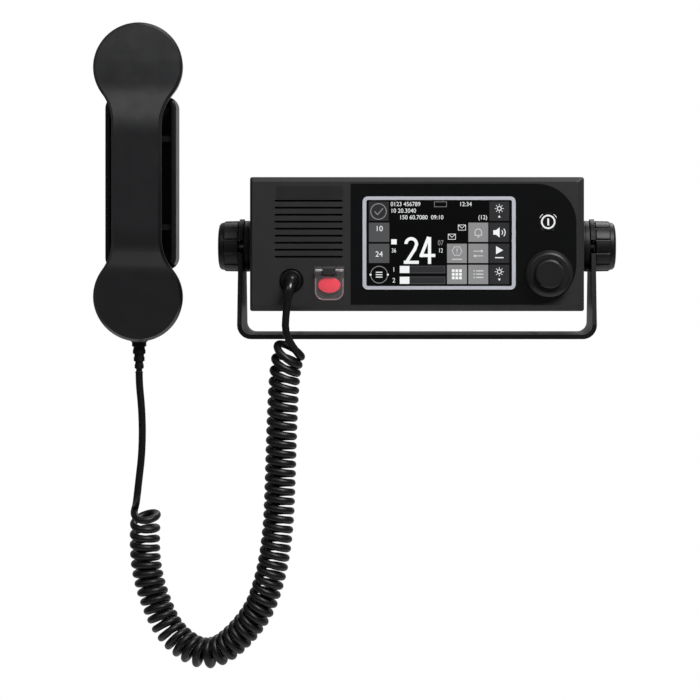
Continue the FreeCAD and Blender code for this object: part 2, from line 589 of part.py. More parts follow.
def hex_bar(start, across_corners, length):
    """Six-sided bar along +Y, such as a nut."""
    points = []
    for i in range(6):
        angle = math.pi * i / 3
        points.append(start + V(across_corners * math.cos(angle), 0, across_corners * math.sin(angle)))
    return Part.Face(Part.makePolygon(points + [points[0]])).extrude(V(0, length, 0))


def case_screw(x, z):
    """Pan-head screw that holds the case to the bezel, seen from behind."""
    profile = [(0, 0), (0, 3.6), (1.4, 3.4), (2.3, 2.2), (2.3, 0)]
    head = turned(profile, V(x, CASE_BACK_Y, z), V(0, 1, 0))
    return head.cut(hex_bar(V(x, CASE_BACK_Y + 1.1, z), 1.6, 4))


def side_outline(points, radii, x0, x1):
    """Solid with an outline in the side view. The points are (height, depth from the bulkhead)."""
    corners = [V(x0, BULKHEAD_Y - depth, z) for z, depth in points]
    return prism(corners, radii, V(x1 - x0, 0, 0))


def handset_outline(y):
    """Front view of the handset at one depth: round ends, hollow flares and a straight grip. It narrows
    towards the back by the moulding's draft."""
    grow = (RIM_Y - y) * DRAFT
    radius, half, flare = CAP_R + grow, GRIP_HALF + grow, NECK_R - grow
    rise = math.sqrt((radius + flare) ** 2 - (half + flare) ** 2)
    share = radius / (radius + flare)
    mouth, ear = V(HANDSET_X, y, MOUTH_Z), V(HANDSET_X, y, EAR_Z)
    edges = []
    for side, low_cap, high_cap, turn in ((1, mouth, ear, 1), (-1, ear, mouth, -1)):
        x = HANDSET_X + side * (half + flare)
        first, second = V(x, y, low_cap.z + turn * rise), V(x, y, high_cap.z - turn * rise)
        grip_x = HANDSET_X + side * half
        edges.append(arc_round(first, low_cap + (first - low_cap) * share, V(grip_x, y, first.z)))
        edges.append(Part.LineSegment(V(grip_x, y, first.z), V(grip_x, y, second.z)).toShape())
        edges.append(arc_round(second, V(grip_x, y, second.z), high_cap + (second - high_cap) * share))
        other = V(2 * HANDSET_X - x, y, second.z)
        edges.append(Part.Arc(high_cap + (second - high_cap) * share, high_cap + V(0, 0, turn * radius),
                              high_cap + (other - high_cap) * share).toShape())
    return Part.Wire(edges)


def arc_round(centre, start, end):
    """The shorter arc about a centre."""
    middle = centre + unit((start - centre) + (end - centre)) * (start - centre).Length
    return Part.Arc(start, middle, end).toShape()


def handset_envelope():
    """The handset's drafted sides, from in front of its face to the bulkhead."""
    return Part.makeLoft([handset_outline(BULKHEAD_Y - 60), handset_outline(BULKHEAD_Y)], True, True)


def arch_band(top_in, bottom_in, x_half):
    """Band that follows the handset's arch between two depths below its outer face."""
    top = [(z, depth - top_in) for z, depth in ARCH]
    bottom = [(z, depth - bottom_in) for z, depth in reversed(ARCH)]
    radii = ARCH_RADII + list(reversed(ARCH_RADII))
    return side_outline(top + bottom, radii, HANDSET_X - x_half, HANDSET_X + x_half)


def rim_edges(body):
    """Edges between the handset's arched face and its sides."""
    found = []
    for edge in body.Edges:
        leans = []
        for face in body.Faces:
            if any(edge.isSame(other) for other in face.Edges):
                u0, u1, v0, v1 = face.ParameterRange
                leans.append(face.normalAt((u0 + u1) / 2, (v0 + v1) / 2).y)
        if min(leans) < -0.5 and -0.3 < max(leans) < 0.3:
            found.append(edge)
    return found


def handset_outer():
    """Front half of the handset, with its slanted rim."""
    body = arch_band(0, PARTING_IN, 40).common(handset_envelope())
    return body.makeChamfer(RIM_WIDTH, rim_edges(body)).cut(capsule_wells())


def capsule_wells():
    """Round wells in the back of the handset for the two capsules."""
    return [rod(23, V(HANDSET_X, BULKHEAD_Y - 30, z), V(HANDSET_X, BULKHEAD_Y - 2, z))
            for z in (EAR_Z, MOUTH_Z)]


def handset_inner():
    """Back half of the handset: the grip's inner face and the two round skirts that the caps close."""
    grip = arch_band(PARTING_IN, GRIP_THICKNESS, 40).common(handset_envelope())
    back_y = BULKHEAD_Y - 12
    back_r = CAP_R + (RIM_Y - back_y) * DRAFT - 0.3
    profile = [(0, 0), (0, back_r - 2.2), (0.7, back_r - 0.9), (2.0, back_r),
               (12, back_r + 10 * DRAFT), (12, 0)]
    skirts = [turned(profile, V(HANDSET_X, back_y, z), V(0, -1, 0)) for z in (EAR_Z, MOUTH_Z)]
    return grip.fuse(skirts).cut(capsule_wells() + [ptt_well()])


def ptt_well():
    """Opening for the press-to-talk bar in the back of the grip."""
    return face_plate(HANDSET_X - PTT_HALF - 0.3, HANDSET_X + PTT_HALF + 0.3, PTT_Z0 - 0.3, PTT_Z1 + 0.3,
                      BULKHEAD_Y - 38, BULKHEAD_Y - 20, 3.3)


def ptt_button():
    """Press-to-talk bar with a row of grip ridges."""
    bar = face_plate(HANDSET_X - PTT_HALF, HANDSET_X + PTT_HALF, PTT_Z0, PTT_Z1, BULKHEAD_Y - 35,
                     BULKHEAD_Y - 28.5, 3)
    ridges = [rod(0.7, V(HANDSET_X - 5, BULKHEAD_Y - 28.5, z), V(HANDSET_X + 5, BULKHEAD_Y - 28.5, z))
              for z in range(101, 122, 4)]
    return bar.fuse(ridges)


def sound_cap(z, rings):
    """Screwed cap over a capsule, with rings of sound holes."""
    profile = [(0, 0), (0, CAP_R - 7.4), (1.2, CAP_R - 5.6), (3.0, CAP_R - 5.0), (3.0, 0)]
    cap = turned(profile, V(HANDSET_X, BULKHEAD_Y - 9, z), V(0, -1, 0))
    holes = [rod(1.1, V(HANDSET_X, BULKHEAD_Y - 14, z), V(HANDSET_X, BULKHEAD_Y - 8, z))]
    for ring_r, count in rings:
        for i in range(count):
            angle = 2 * math.pi * i / count
            x, dz = HANDSET_X + ring_r * math.cos(angle), ring_r * math.sin(angle)
            holes.append(rod(1.1, V(x, BULKHEAD_Y - 14, z + dz), V(x, BULKHEAD_Y - 8, z + dz)))
    return cap.cut(holes)


def capsule(z, thickness):
    """Receiver or microphone capsule seated on its cap."""
    profile = [(0, 0), (0, 20), (2, 22), (thickness, 22), (thickness, 0)]
    return turned(profile, V(HANDSET_X, BULKHEAD_Y - 12, z), V(0, -1, 0))


def handset_boot():
    """Ribbed strain relief under the handset."""
    profile = [(0, 0), (0, 6.2), (1.8, 6.2)]
    along = 3.0
    for radius in (4.9, 4.3, 3.7, 3.1):
        profile += [(along, radius), (along + 2.6, radius), (along + 3.0, radius - 1.0),
                    (along + 4.6, radius - 1.0)]
        along += 5.0
    profile += [(STRAIN_LENGTH, 3.0), (STRAIN_LENGTH, 0)]
    boot = turned(profile, V(STRAIN_X, STRAIN_Y, STRAIN_TOP_Z), V(0, 0, -1))
    return boot.cut(handset_envelope())


def cradle_body():
    """Moulded trough with a rounded rim; its ends are hollowed to clear the handset's round ends."""
    x0, x1 = HANDSET_X - CRADLE_HALF, HANDSET_X + CRADLE_HALF
    rim_y = BULKHEAD_Y - CRADLE_DEPTH
    outer = face_plate(x0, x1, CRADLE_Z0, CRADLE_Z1, rim_y, BULKHEAD_Y, 9)
    outer = outer.makeFillet(1.4, [edge for edge in outer.Edges if edge.BoundBox.YMax < rim_y + 0.01])
    z0, z1 = CRADLE_Z0 + CRADLE_WALL, CRADLE_Z1 - CRADLE_WALL
    trough = face_plate(x0 + CRADLE_WALL, x1 - CRADLE_WALL, z0, z1, rim_y - 1, BULKHEAD_Y - CRADLE_FLOOR, 6.5)
    bulges = [rod(CAP_R + 1.2, V(HANDSET_X, rim_y - 1, z), V(HANDSET_X, BULKHEAD_Y - 7, z))
              for z in (EAR_Z, MOUTH_Z)]
    body = outer.cut([trough] + bulges)
    holes, saddles = [], []
    for side in (-1, 1):
        z = CRADLE_MIDDLE_Z + side * CRADLE_SCREWS / 2
        holes.append(rod(2.25, V(HANDSET_X, BULKHEAD_Y - 10, z), V(HANDSET_X, BULKHEAD_Y + 1, z)))
        z = CRADLE_MIDDLE_Z + side * SADDLES / 2
        saddles.append(block(x0 + 1, x1 - 1, BULKHEAD_Y - CRADLE_DEPTH + 3, BULKHEAD_Y - 1, z - 2, z + 2))
        saddles.append(block(HANDSET_X - 13, HANDSET_X + 13, BULKHEAD_Y - SADDLE_DEPTH, BULKHEAD_Y - 1,
                             z - 2, z + 2))
    return body.fuse(saddles).cut(holes)


def cradle_pad(z):
    """Rubber pad on a saddle, just clear of the grip."""
    y1 = BULKHEAD_Y - SADDLE_DEPTH
    return block(HANDSET_X - 13, HANDSET_X + 13, y1 - PAD_THICKNESS, y1, z - 2, z + 2)


def in_plane(x, z):
    """A point of the curls' axis, which lies in the cord's hanging plane."""
    return V(x, PLANE_START_Y + (x - PLANE_START_X) * PLANE_SLOPE, z)


def smooth_path(points):
    """Straight runs joined by the largest tangent arcs that they allow, and the arcs' radii."""
    edges, radii = [], []
    here = points[0]
    for before, corner, after in zip(points, points[1:], points[2:]):
        back, ahead = unit(before - corner), unit(after - corner)
        half_turn = (math.pi - back.getAngle(ahead)) / 2
        cut = 0.45 * min((before - corner).Length, (after - corner).Length)
        radius = cut / math.tan(half_turn)
        middle = corner + unit(back + ahead) * (radius / math.cos(half_turn) - radius)
        edges.append(Part.LineSegment(here, corner + back * cut).toShape())
        edges.append(Part.Arc(corner + back * cut, middle, corner + ahead * cut).toShape())
        here = corner + ahead * cut
        radii.append(radius)
    edges.append(Part.LineSegment(here, points[-1]).toShape())
    return edges, radii


def cord_tube(name, points):
    """Round tube along a smooth path. Prints its radii, and its volume's share of section times length."""
    edges, radii = smooth_path(points)
    path = Part.Wire(edges)
    profile = Part.Wire([Part.makeCircle(CORD_D / 2, points[0], points[1] - points[0])])
    tube = path.makePipeShell([profile], True, False)
    section = math.pi * CORD_D ** 2 / 4
    print(name, "length", round(path.Length, 1), "radii", [round(r) for r in radii],
          "volume share", round(tube.Volume / (section * path.Length), 4))
    return tube


class CurlAxis:
    """The line that the curls go round, measured along its length."""

    def __init__(self):
        self.edges, self.radii = smooth_path([in_plane(x, z) for x, z in CURL_AXIS])
        self.length = sum(edge.Length for edge in self.edges)
        plane = V(1, PLANE_SLOPE, 0)
        self.front = unit(plane.cross(V(0, 0, 1)))

    def at(self, along):
        """Point, direction and curvature at a distance from the radio's end."""
        for edge in self.edges:
            if along <= edge.Length or edge is self.edges[-1]:
                place = edge.getParameterByLength(min(max(along, 0), edge.Length))
                bend = 0 if isinstance(edge.Curve, Part.Line) else 1 / edge.Curve.Radius
                return edge.valueAt(place), edge.tangentAt(place), bend
            along -= edge.Length


def curl_marks(axis):
    """Distances along the axis at which each half curl ends. The curls open where the axis bends."""
    step = 0.5
    steps = int(axis.length / step)
    weights = []
    for i in range(steps):
        bend = axis.at((i + 0.5) * step)[2]
        weights.append(min(1 / LEG_PITCH, (1 - bend * CURL_R) / (CORD_D + LEAST_GAP)))
    total = sum(weights)
    marks, done, target = [0.0], 0.0, total / HALF_CURLS
    for i, weight in enumerate(weights):
        while len(marks) < HALF_CURLS and done + weight >= target * len(marks):
            marks.append((i + (target * len(marks) - done) / weight) * step)
        done += weight
    return marks + [axis.length]


def curl_point(axis, marks, turn):
    """Point of the cord's centre line after so many half curls. The end curls lie tilted."""
    turn = min(max(turn, 0), HALF_CURLS)
    low = min(int(turn), HALF_CURLS - 1)
    along = marks[low] + (turn - low) * (marks[low + 1] - marks[low])
    point, direction, _ = axis.at(along)
    outward = unit(axis.front.cross(direction))
    angle = math.pi * turn
    lift = RADIO_END_LIFT * math.exp(-turn / 2 / RADIO_END_FADE) * (1 - math.cos(angle)) / 2
    from_end = (HALF_CURLS - turn) / 2
    lift += HANDSET_END_LIFT * math.exp(-from_end / HANDSET_END_FADE) * (1 + math.sin(angle)) / 2
    swing = outward * (CURL_R * math.cos(angle)) - axis.front * (CURL_R * math.sin(angle))
    return point + swing + V(0, 0, lift)


def arc_to(start, direction, end):
    """Arc from a point, in a direction, to another point."""
    chord = end - start
    inward = unit(chord - direction * chord.dot(direction))
    radius = chord.dot(chord) / (2 * chord.dot(inward))
    centre = start + inward * radius
    middle = centre + unit((start - centre) + (end - centre)) * radius
    return Part.Arc(start, middle, end).toShape()


def biarc(start, leaving, end, arriving):
    """Two arcs with one tangent where they meet, from one point and direction to another."""
    chord = end - start
    a = 2 * (1 - leaving.dot(arriving))
    b = 2 * chord.dot(leaving + arriving)
    reach = (-b + math.sqrt(b * b + 4 * a * chord.dot(chord))) / (2 * a)
    meeting = (start + end + (leaving - arriving) * reach) * 0.5
    return [arc_to(start, leaving, meeting), arc_to(end, arriving * -1, meeting)]


def curl_path():
    """Centre line of the curled cord: a straight end, half-turn biarcs round the axis, a straight end."""
    axis = CurlAxis()
    marks = curl_marks(axis)
    radio_down = unit(V(*RADIO_LEAD[-1]) - V(*RADIO_LEAD[-2]))
    handset_down = unit(V(*HANDSET_LEAD[-1]) - V(*HANDSET_LEAD[-2]))
    first, last = V(*RADIO_LEAD[-1]), V(*HANDSET_LEAD[-1])
    edges = [Part.LineSegment(first, first + radio_down * CORD_D).toShape()]
    here, heading = first + radio_down * CORD_D, radio_down
    for turn in range(HALF_CURLS + 1):
        point = curl_point(axis, marks, turn)
        direction = unit(curl_point(axis, marks, turn + 0.02) - curl_point(axis, marks, turn - 0.02))
        edges += biarc(here, heading, point, direction)
        here, heading = point, direction
    edges += biarc(here, heading, last + handset_down * CORD_D, handset_down * -1)
    edges.append(Part.LineSegment(last + handset_down * CORD_D, last).toShape())
    spacing = [marks[i + 2] - marks[i] for i in range(HALF_CURLS - 1)]
    print("curl axis", round(axis.length, 1), "radii", [round(r) for r in axis.radii], "pitch",
          round(min(spacing), 2), "to", round(max(spacing), 2))
    return edges


def least_gap(edges):
    """Smallest gap between the cord's neighbouring curls, on points eight to an arc."""
    points = []
    for edge in edges:
        span = edge.LastParameter - edge.FirstParameter
        points += [edge.valueAt(edge.FirstParameter + span * i / 8) for i in range(8)]
    per_turn = 32
    gap = 1e9
    for i, point in enumerate(points):
        for other in points[i + per_turn // 2:i + 2 * per_turn]:
            gap = min(gap, (point - other).Length)
    return gap - CORD_D


def cord_coil():
    """The curls: one unbroken six-sided tube."""
    edges = curl_path()
    path = Part.Wire(edges)
    start = V(*RADIO_LEAD[-1])
    heading = unit(V(*RADIO_LEAD[-1]) - V(*RADIO_LEAD[-2]))
    across = unit(heading.cross(V(0, 1, 0)))
    up = heading.cross(across)
    corners = []
    for i in range(CORD_SIDES):
        angle = 2 * math.pi * i / CORD_SIDES
        corners.append(start + (across * math.cos(angle) + up * math.sin(angle)) * (CORD_D / 2))
    tube = path.makePipeShell([Part.makePolygon(corners + [corners[0]])], True, False)
    section = CORD_SIDES / 2 * (CORD_D / 2) ** 2 * math.sin(2 * math.pi / CORD_SIDES)
    print("curls", HALF_CURLS / 2, "cord in them", round(path.Length), "least gap",
          round(least_gap(edges), 2), "smallest radius", round(min(e.Curve.Radius for e in edges[1:-1]), 1),
          "volume share", round(tube.Volume / (section * path.Length), 4))
    return tube


def radio_lead_points():
    """Route of the short straight piece from the radio's boot to the curls."""
    bend_end, down = boot_frame()
    return [bend_end + down * 4.0] + [V(*point) for point in RADIO_LEAD]


def handset_lead_points():
    """Route of the straight piece from the handset's strain relief to the curls."""
    start = V(STRAIN_X, STRAIN_Y, STRAIN_TOP_Z - STRAIN_LENGTH)
    return [start, start - V(0, 0, 1.5 * CORD_D)] + [V(*point) for point in HANDSET_LEAD]


def main():
    os.makedirs(OUT, exist_ok=True)
    save("bracket", bracket())
    knob, stud, washer = clamp_knob(), knob_stud(), friction_washer()
    for side, turn in (("right", lambda s: s), ("left", mirrored)):
        save("clamp_knob_" + side, turn(knob))
        save("clamp_stud_" + side, turn(stud))
        save("friction_washer_" + side, turn(washer))
    save("front_bezel", front_bezel())
    save("face_panel", face_panel())
    save("display_frame", display_frame())
    save("screen_glass", screen_glass())
    save("display_module", display_module())
    save("case_shell", case_shell())
    save("front_gasket", front_gasket())
    save("speaker_mesh", speaker_mesh())
    save("speaker_frame", speaker_frame())
    save("speaker_cone", speaker_cone())
    save("dial_ring", dial_ring())
    save("dial_cap", dial_cap())
    save("dial_shaft", dial_shaft())
    save("encoder", encoder())
    save("power_key", power_key())
    save("key_switch", key_switch())
    save("call_button", call_button())
    save("call_switch", call_switch())
    save("call_cover", call_cover())
    save("cover_hinge", cover_hinge())
    save("hinge_pin", hinge_pin())
    save("cord_gland", cord_gland())
    save("cord_boot", cord_boot())
    save("main_board", main_board())
    save("transmitter_module", transmitter_module())
    save("antenna_socket", antenna_socket())
    for i, x in enumerate(DATA_XS):
        save("data_socket_%d" % (i + 1), data_socket(x))
    save("power_socket", power_socket())
    save("ground_terminal", ground_terminal())
    corner_x, low, high = SHELL_HALF - 6, CASE_UNDERSIDE_Z + 7, CASE_UNDERSIDE_Z + CASE_HEIGHT - 7
    for i, (x, z) in enumerate([(-corner_x, low), (corner_x, low), (-corner_x, high), (corner_x, high)]):
        save("case_screw_%d" % (i + 1), case_screw(x, z))
    save("handset_outer", handset_outer())
    save("handset_inner", handset_inner())
    save("ear_cap", sound_cap(EAR_Z, [(5, 6), (10, 12)]))
    save("mouth_cap", sound_cap(MOUTH_Z, [(5, 6)]))
    save("receiver_capsule", capsule(EAR_Z, 14))
    save("microphone_capsule", capsule(MOUTH_Z, 10))
    save("ptt_button", ptt_button())
    save("handset_boot", handset_boot())
    save("cradle_body", cradle_body())
    save("cradle_pad_lower", cradle_pad(CRADLE_MIDDLE_Z - SADDLES / 2))
    save("cradle_pad_upper", cradle_pad(CRADLE_MIDDLE_Z + SADDLES / 2))
    save("cord_lead_radio", cord_tube("radio lead", radio_lead_points()))
    save("cord_lead_handset", cord_tube("handset lead", handset_lead_points()))
    save("cord_coil", cord_coil())


main()
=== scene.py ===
"""Looks for the marine radio: camera, curly cord, screen picture, materials and light, in metres."""

import math

import bmesh
import bpy
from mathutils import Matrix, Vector


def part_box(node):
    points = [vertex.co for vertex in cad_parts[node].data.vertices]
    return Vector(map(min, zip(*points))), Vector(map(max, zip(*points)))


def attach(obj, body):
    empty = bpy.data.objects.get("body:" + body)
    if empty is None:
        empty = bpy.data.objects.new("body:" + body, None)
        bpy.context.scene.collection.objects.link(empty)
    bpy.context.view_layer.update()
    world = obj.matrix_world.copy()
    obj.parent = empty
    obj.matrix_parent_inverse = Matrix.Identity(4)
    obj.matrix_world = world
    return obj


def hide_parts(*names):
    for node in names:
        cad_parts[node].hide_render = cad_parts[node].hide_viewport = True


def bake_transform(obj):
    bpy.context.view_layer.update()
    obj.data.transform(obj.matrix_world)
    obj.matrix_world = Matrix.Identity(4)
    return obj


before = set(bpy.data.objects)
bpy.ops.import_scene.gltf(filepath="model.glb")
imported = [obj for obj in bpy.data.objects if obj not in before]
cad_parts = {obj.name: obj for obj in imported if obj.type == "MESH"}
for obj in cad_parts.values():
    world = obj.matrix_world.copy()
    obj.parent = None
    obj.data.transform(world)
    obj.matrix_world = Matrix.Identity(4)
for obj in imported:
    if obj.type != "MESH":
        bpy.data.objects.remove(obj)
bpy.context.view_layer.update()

MM = 0.001

# Camera: level, in front of the middle of the radio's face, with the frame moved left and down
CAMERA_AXIS_Z = 0.0748
FACE_Y = -0.045
CAMERA_DISTANCE = 1.70
VIEW_WIDTH = 0.46667
AXIS_FROM_LEFT, AXIS_FROM_TOP = 417 / 700, 228 / 700

# Stage and light: each lamp's name, place, size and watts, and the point that all of them face
FLOOR_R = 0.65
FLOOR_PLACE = (-0.04, 0.12, -0.45)
WORLD_LEVEL = 0.15
LAMPS = [
    ("key", (0.75, -1.25, 1.60), 1.0, 60),
    ("left", (-1.0, -1.3, 1.2), 0.4, 3),
    ("back", (0.3, 1.2, 1.5), 1.0, 16),
]
LAMP_AIM = (-0.03, -0.02, 0.04)

# Cord: its thickness, the radius of its curls, their number, and the points of one curl
CORD_D = 0.0050
CURL_R = 0.0081
CURLS = 54
STEPS = 16
END_RING = 0.0001

# Room of one curl in millimetres, along the axis and on the inside of a bend, before all are scaled to fit
ROOM_ALONG, ROOM_INSIDE = 6.1, 5.12
AXIS_CELLS = 680
BEND_SPAN = 0.004

# Tilt of the end curls in millimetres, and the number of curls that it fades over
RADIO_TILT, RADIO_FADE = 7.5, 3
HANDSET_TILT, HANDSET_FADE = 12.0, 1.2


def add_camera():
    """The photograph's level view."""
    data = bpy.data.cameras.new("camera")
    data.sensor_width = 36
    data.lens = 36 * CAMERA_DISTANCE / VIEW_WIDTH
    data.shift_x = 0.5 - AXIS_FROM_LEFT
    data.shift_y = AXIS_FROM_TOP - 0.5
    data.clip_end = 20
    camera = bpy.data.objects.new("camera", data)
    camera.location = (0, FACE_Y - CAMERA_DISTANCE, CAMERA_AXIS_Z)
    camera.rotation_euler = (math.radians(90), 0, 0)
    bpy.context.scene.collection.objects.link(camera)
    bpy.context.scene.camera = camera


# Routes in the row frame, in millimetres: the straight leads, and the axis of the curls in its hanging plane
RADIO_LEAD = [(-85.54, -55.0, 27.78), (-87.0, -55.0, 17.5), (-87.3, -55.0, 8.5)]
HANDSET_LEAD = [(-188.6, -14.0, -23.2), (-188.6, -14.0, -30.25), (-187.0, -13.8, -46.0),
                (-186.4, -13.4, -63.0), (-187.0, -13.1, -80.0), (-188.7, -12.9, -94.5),
                (-190.0, -12.7, -106.0)]
CURL_AXIS = [(-84.4, -8.5), (-87.3, -17.0), (-89.0, -34.0), (-90.3, -62.0), (-91.2, -95.0), (-92.6, -128.0),
             (-97.8, -160.0), (-108.5, -188.0), (-138.0, -216.5), (-166.5, -203.5), (-181.0, -173.0),
             (-186.6, -145.0), (-184.8, -122.0)]
PLANE_START = (-86.4, -47.1)
PLANE_SLOPE = -0.412


def in_metres(points):
    return [Vector(p) * MM for p in points]


def nurbs_points(name, points, resolution=12):
    """Points read from the NURBS spline that has the given control points."""
    data = bpy.data.curves.new(name, "CURVE")
    data.dimensions = "3D"
    data.resolution_u = resolution
    spline = data.splines.new("NURBS")
    spline.points.add(len(points) - 1)
    for place, point in zip(spline.points, points):
        place.co = (*point, 1)
    spline.order_u = 3
    spline.use_endpoint_u = True
    curve = bpy.data.objects.new(name, data)
    mesh = bpy.data.meshes.new_from_object(curve)
    read = [v.co.copy() for v in mesh.vertices]
    bpy.data.objects.remove(curve)
    bpy.data.meshes.remove(mesh)
    return read


class Line:
    """A line through points, measured along its length."""

    def __init__(self, points):
        self.points = points
        self.sums = [0.0]
        for a, b in zip(points, points[1:]):
            self.sums.append(self.sums[-1] + (b - a).length)
        self.length = self.sums[-1]

    def at(self, along):
        """Point at a distance from the start."""
        along = min(max(along, 0), self.length)
        i = max(1, next(k for k, total in enumerate(self.sums) if total >= along - 1e-12))
        share = (along - self.sums[i - 1]) / max(self.sums[i] - self.sums[i - 1], 1e-12)
        return self.points[i - 1].lerp(self.points[i], share)

    def direction(self, along):
        """Direction of the line at a distance from the start."""
        return (self.at(along + 0.002) - self.at(along - 0.002)).normalized()


def tube(name, path, radii, sides=12):
    """Closed round tube along the path, with a radius for each point and a steady frame from ring to ring.

    A ring close to each end keeps the smooth shading of the side out of the end face."""
    first = path[0] + (path[1] - path[0]).normalized() * END_RING
    last = path[-1] + (path[-2] - path[-1]).normalized() * END_RING
    path = [path[0], first] + path[1:-1] + [last, path[-1]]
    radii = [radii[0]] * 2 + radii[1:-1] + [radii[-1]] * 2
    bm = bmesh.new()
    rings = []
    heading = (path[1] - path[0]).normalized()
    across = heading.orthogonal().normalized()
    for i, point in enumerate(path):
        ahead = (path[min(i + 1, len(path) - 1)] - path[max(i - 1, 0)]).normalized()
        across = heading.rotation_difference(ahead) @ across
        across = (across - ahead * across.dot(ahead)).normalized()
        heading = ahead
        up = heading.cross(across)
        ring = []
        for k in range(sides):
            angle = 2 * math.pi * k / sides
            ring.append(bm.verts.new(point + (across * math.cos(angle) + up * math.sin(angle)) * radii[i]))
        rings.append(ring)
    for a, b in zip(rings, rings[1:]):
        for k in range(sides):
            bm.faces.new((a[k], a[(k + 1) % sides], b[(k + 1) % sides], b[k]))
    bm.faces.new(list(reversed(rings[0])))
    bm.faces.new(rings[-1])
    return from_bmesh(name, bm, smooth=True)


def from_bmesh(name, bm, smooth=False):
    """A new object from a bmesh, with its faces turned outwards."""
    bmesh.ops.recalc_face_normals(bm, faces=bm.faces)
    mesh = bpy.data.meshes.new(name)
    bm.to_mesh(mesh)
    bm.free()
    for polygon in mesh.polygons:
        polygon.use_smooth = smooth
    piece = bpy.data.objects.new(name, mesh)
    bpy.context.scene.collection.objects.link(piece)
    return piece


def curl_controls():
    """Control points of the curls round the axis. The end curls are tilted, and all open round the bend."""
    axis = Line(nurbs_points("curl axis", in_metres(
        [(x, PLANE_START[1] + (x - PLANE_START[0]) * PLANE_SLOPE, z) for x, z in CURL_AXIS])))
    front = Vector((1, PLANE_SLOPE, 0)).normalized().cross(Vector((0, 0, 1)))
    step = axis.length / AXIS_CELLS
    weights = []
    for i in range(AXIS_CELLS):
        along = (i + 0.5) * step
        turn = axis.direction(along + BEND_SPAN).angle(axis.direction(along - BEND_SPAN), 0)
        weights.append(min(1 / ROOM_ALONG, (1 - turn / (2 * BEND_SPAN) * CURL_R) / ROOM_INSIDE))
    total = sum(weights)
    controls = []
    done, cell = 0.0, 0
    count = int(CURLS * STEPS)
    for k in range(count + 1):
        target = total * k / count
        while cell < AXIS_CELLS - 1 and done + weights[cell] < target:
            done += weights[cell]
            cell += 1
        along = (cell + (target - done) / weights[cell]) * step
        curls = k / STEPS
        angle = 2 * math.pi * curls
        outward = front.cross(axis.direction(along)).normalized()
        lift = RADIO_TILT * math.exp(-curls / RADIO_FADE) * (1 - math.cos(angle)) / 2
        lift += HANDSET_TILT * math.exp(-(CURLS - curls) / HANDSET_FADE) * (1 + math.sin(angle)) / 2
        swing = outward * math.cos(angle) - front * math.sin(angle)
        controls.append(axis.at(along) + swing * CURL_R + Vector((0, 0, lift * MM)))
    return controls


def add_cords():
    """The curly cord with its lead from the radio, and the lead from the handset."""
    radio_lead, handset_lead = in_metres(RADIO_LEAD), in_metres(HANDSET_LEAD)
    radio_down = (radio_lead[-1] - radio_lead[-2]).normalized()
    handset_down = (handset_lead[-1] - handset_lead[-2]).normalized()
    start = radio_lead[:-1] + [radio_lead[-1] + radio_down * CORD_D]
    finish = [handset_lead[-1] + handset_down * CORD_D, handset_lead[-1] - handset_down * END_RING * 4]
    path = nurbs_points("curly cord", start + curl_controls() + finish, resolution=3)
    curls = tube("curly_cord", path, [CORD_D / 2] * len(path))
    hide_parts("cord_lead_radio", "cord_coil")
    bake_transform(curls)
    Line(path).length
    path = nurbs_points("handset lead", handset_lead)
    lead = tube("handset_lead", path, [CORD_D / 2] * len(path))
    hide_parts("cord_lead_handset")
    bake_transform(lead)
    Line(path).length
    return curls, lead


# Elbow of the cord at the radio: radii of its bend, of its shoulder in the gland and of its sleeve
ELBOW_BEND_R = 0.0078
GLAND_END_R, SHOULDER_R = 0.0054, 0.0053
SLEEVE_R, SLEEVE_TAPER = 0.0033, 0.00055
ELBOW_STEPS, SHOULDER_STEPS, SLEEVE_STEPS = 18, 7, 6


def add_boot():
    """Rubber elbow of the cord: a rounded shoulder in the gland, drawn in to a sleeve that turns down."""
    low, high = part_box("cord_gland")
    x, z = (low.x + high.x) / 2, (low.z + high.z) / 2
    end = Vector(RADIO_LEAD[0]) * MM
    down = (Vector(RADIO_LEAD[1]) * MM - end).normalized()
    start = Vector((x, low.y, z))
    turn = Vector((x, end.y + ELBOW_BEND_R, z))
    path = [start, start.lerp(turn, 0.5), turn]
    radii = [GLAND_END_R, GLAND_END_R, SHOULDER_R]
    for k in range(1, ELBOW_STEPS + 1):
        angle = math.pi / 2 * k / ELBOW_STEPS
        path.append(turn + (Vector((0, -math.sin(angle), 0)) + down * (1 - math.cos(angle))) * ELBOW_BEND_R)
        share = min(1, (k + 1) / SHOULDER_STEPS)
        radii.append(SLEEVE_R + (SHOULDER_R - SLEEVE_R) * max(0, math.cos(math.pi / 2 * share)) ** 0.6)
    corner = path[-1]
    for k in range(1, SLEEVE_STEPS + 1):
        path.append(corner.lerp(end, k / SLEEVE_STEPS))
        radii.append(SLEEVE_R - SLEEVE_TAPER * k / SLEEVE_STEPS)
    boot = tube("cord_sleeve", path, radii, sides=24)
    boot.data.materials.append(MATERIALS["boot"])
    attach(boot, "radio")
    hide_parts("cord_boot")


def rounded_plate(name, middle, size, corner, front, thickness):
    """Thin plate with rounded corners that faces -Y."""
    outline = []
    for cx, cz, first in ((1, 1, 0), (-1, 1, 90), (-1, -1, 180), (1, -1, 270)):
        for k in range(7):
            angle = math.radians(first + 15 * k)
            outline.append((middle[0] + cx * (size[0] / 2 - corner) + corner * math.cos(angle),
                            middle[1] + cz * (size[1] / 2 - corner) + corner * math.sin(angle)))
    bm = bmesh.new()
    faces = [[bm.verts.new((x, y, z)) for x, z in outline] for y in (front, front + thickness)]
    bm.faces.new(faces[0])
    bm.faces.new(list(reversed(faces[1])))
    for k in range(len(outline)):
        j = (k + 1) % len(outline)
        bm.faces.new((faces[0][k], faces[1][k], faces[1][j], faces[0][j]))
    return from_bmesh(name, bm)


PLATE_MIDDLE, PLATE_SIZE, PLATE_CORNER = (-0.07145, 0.0985), (0.0445, 0.0084), 0.0016
PLATE_PROUD, PLATE_THICKNESS = 0.00012, 0.0003


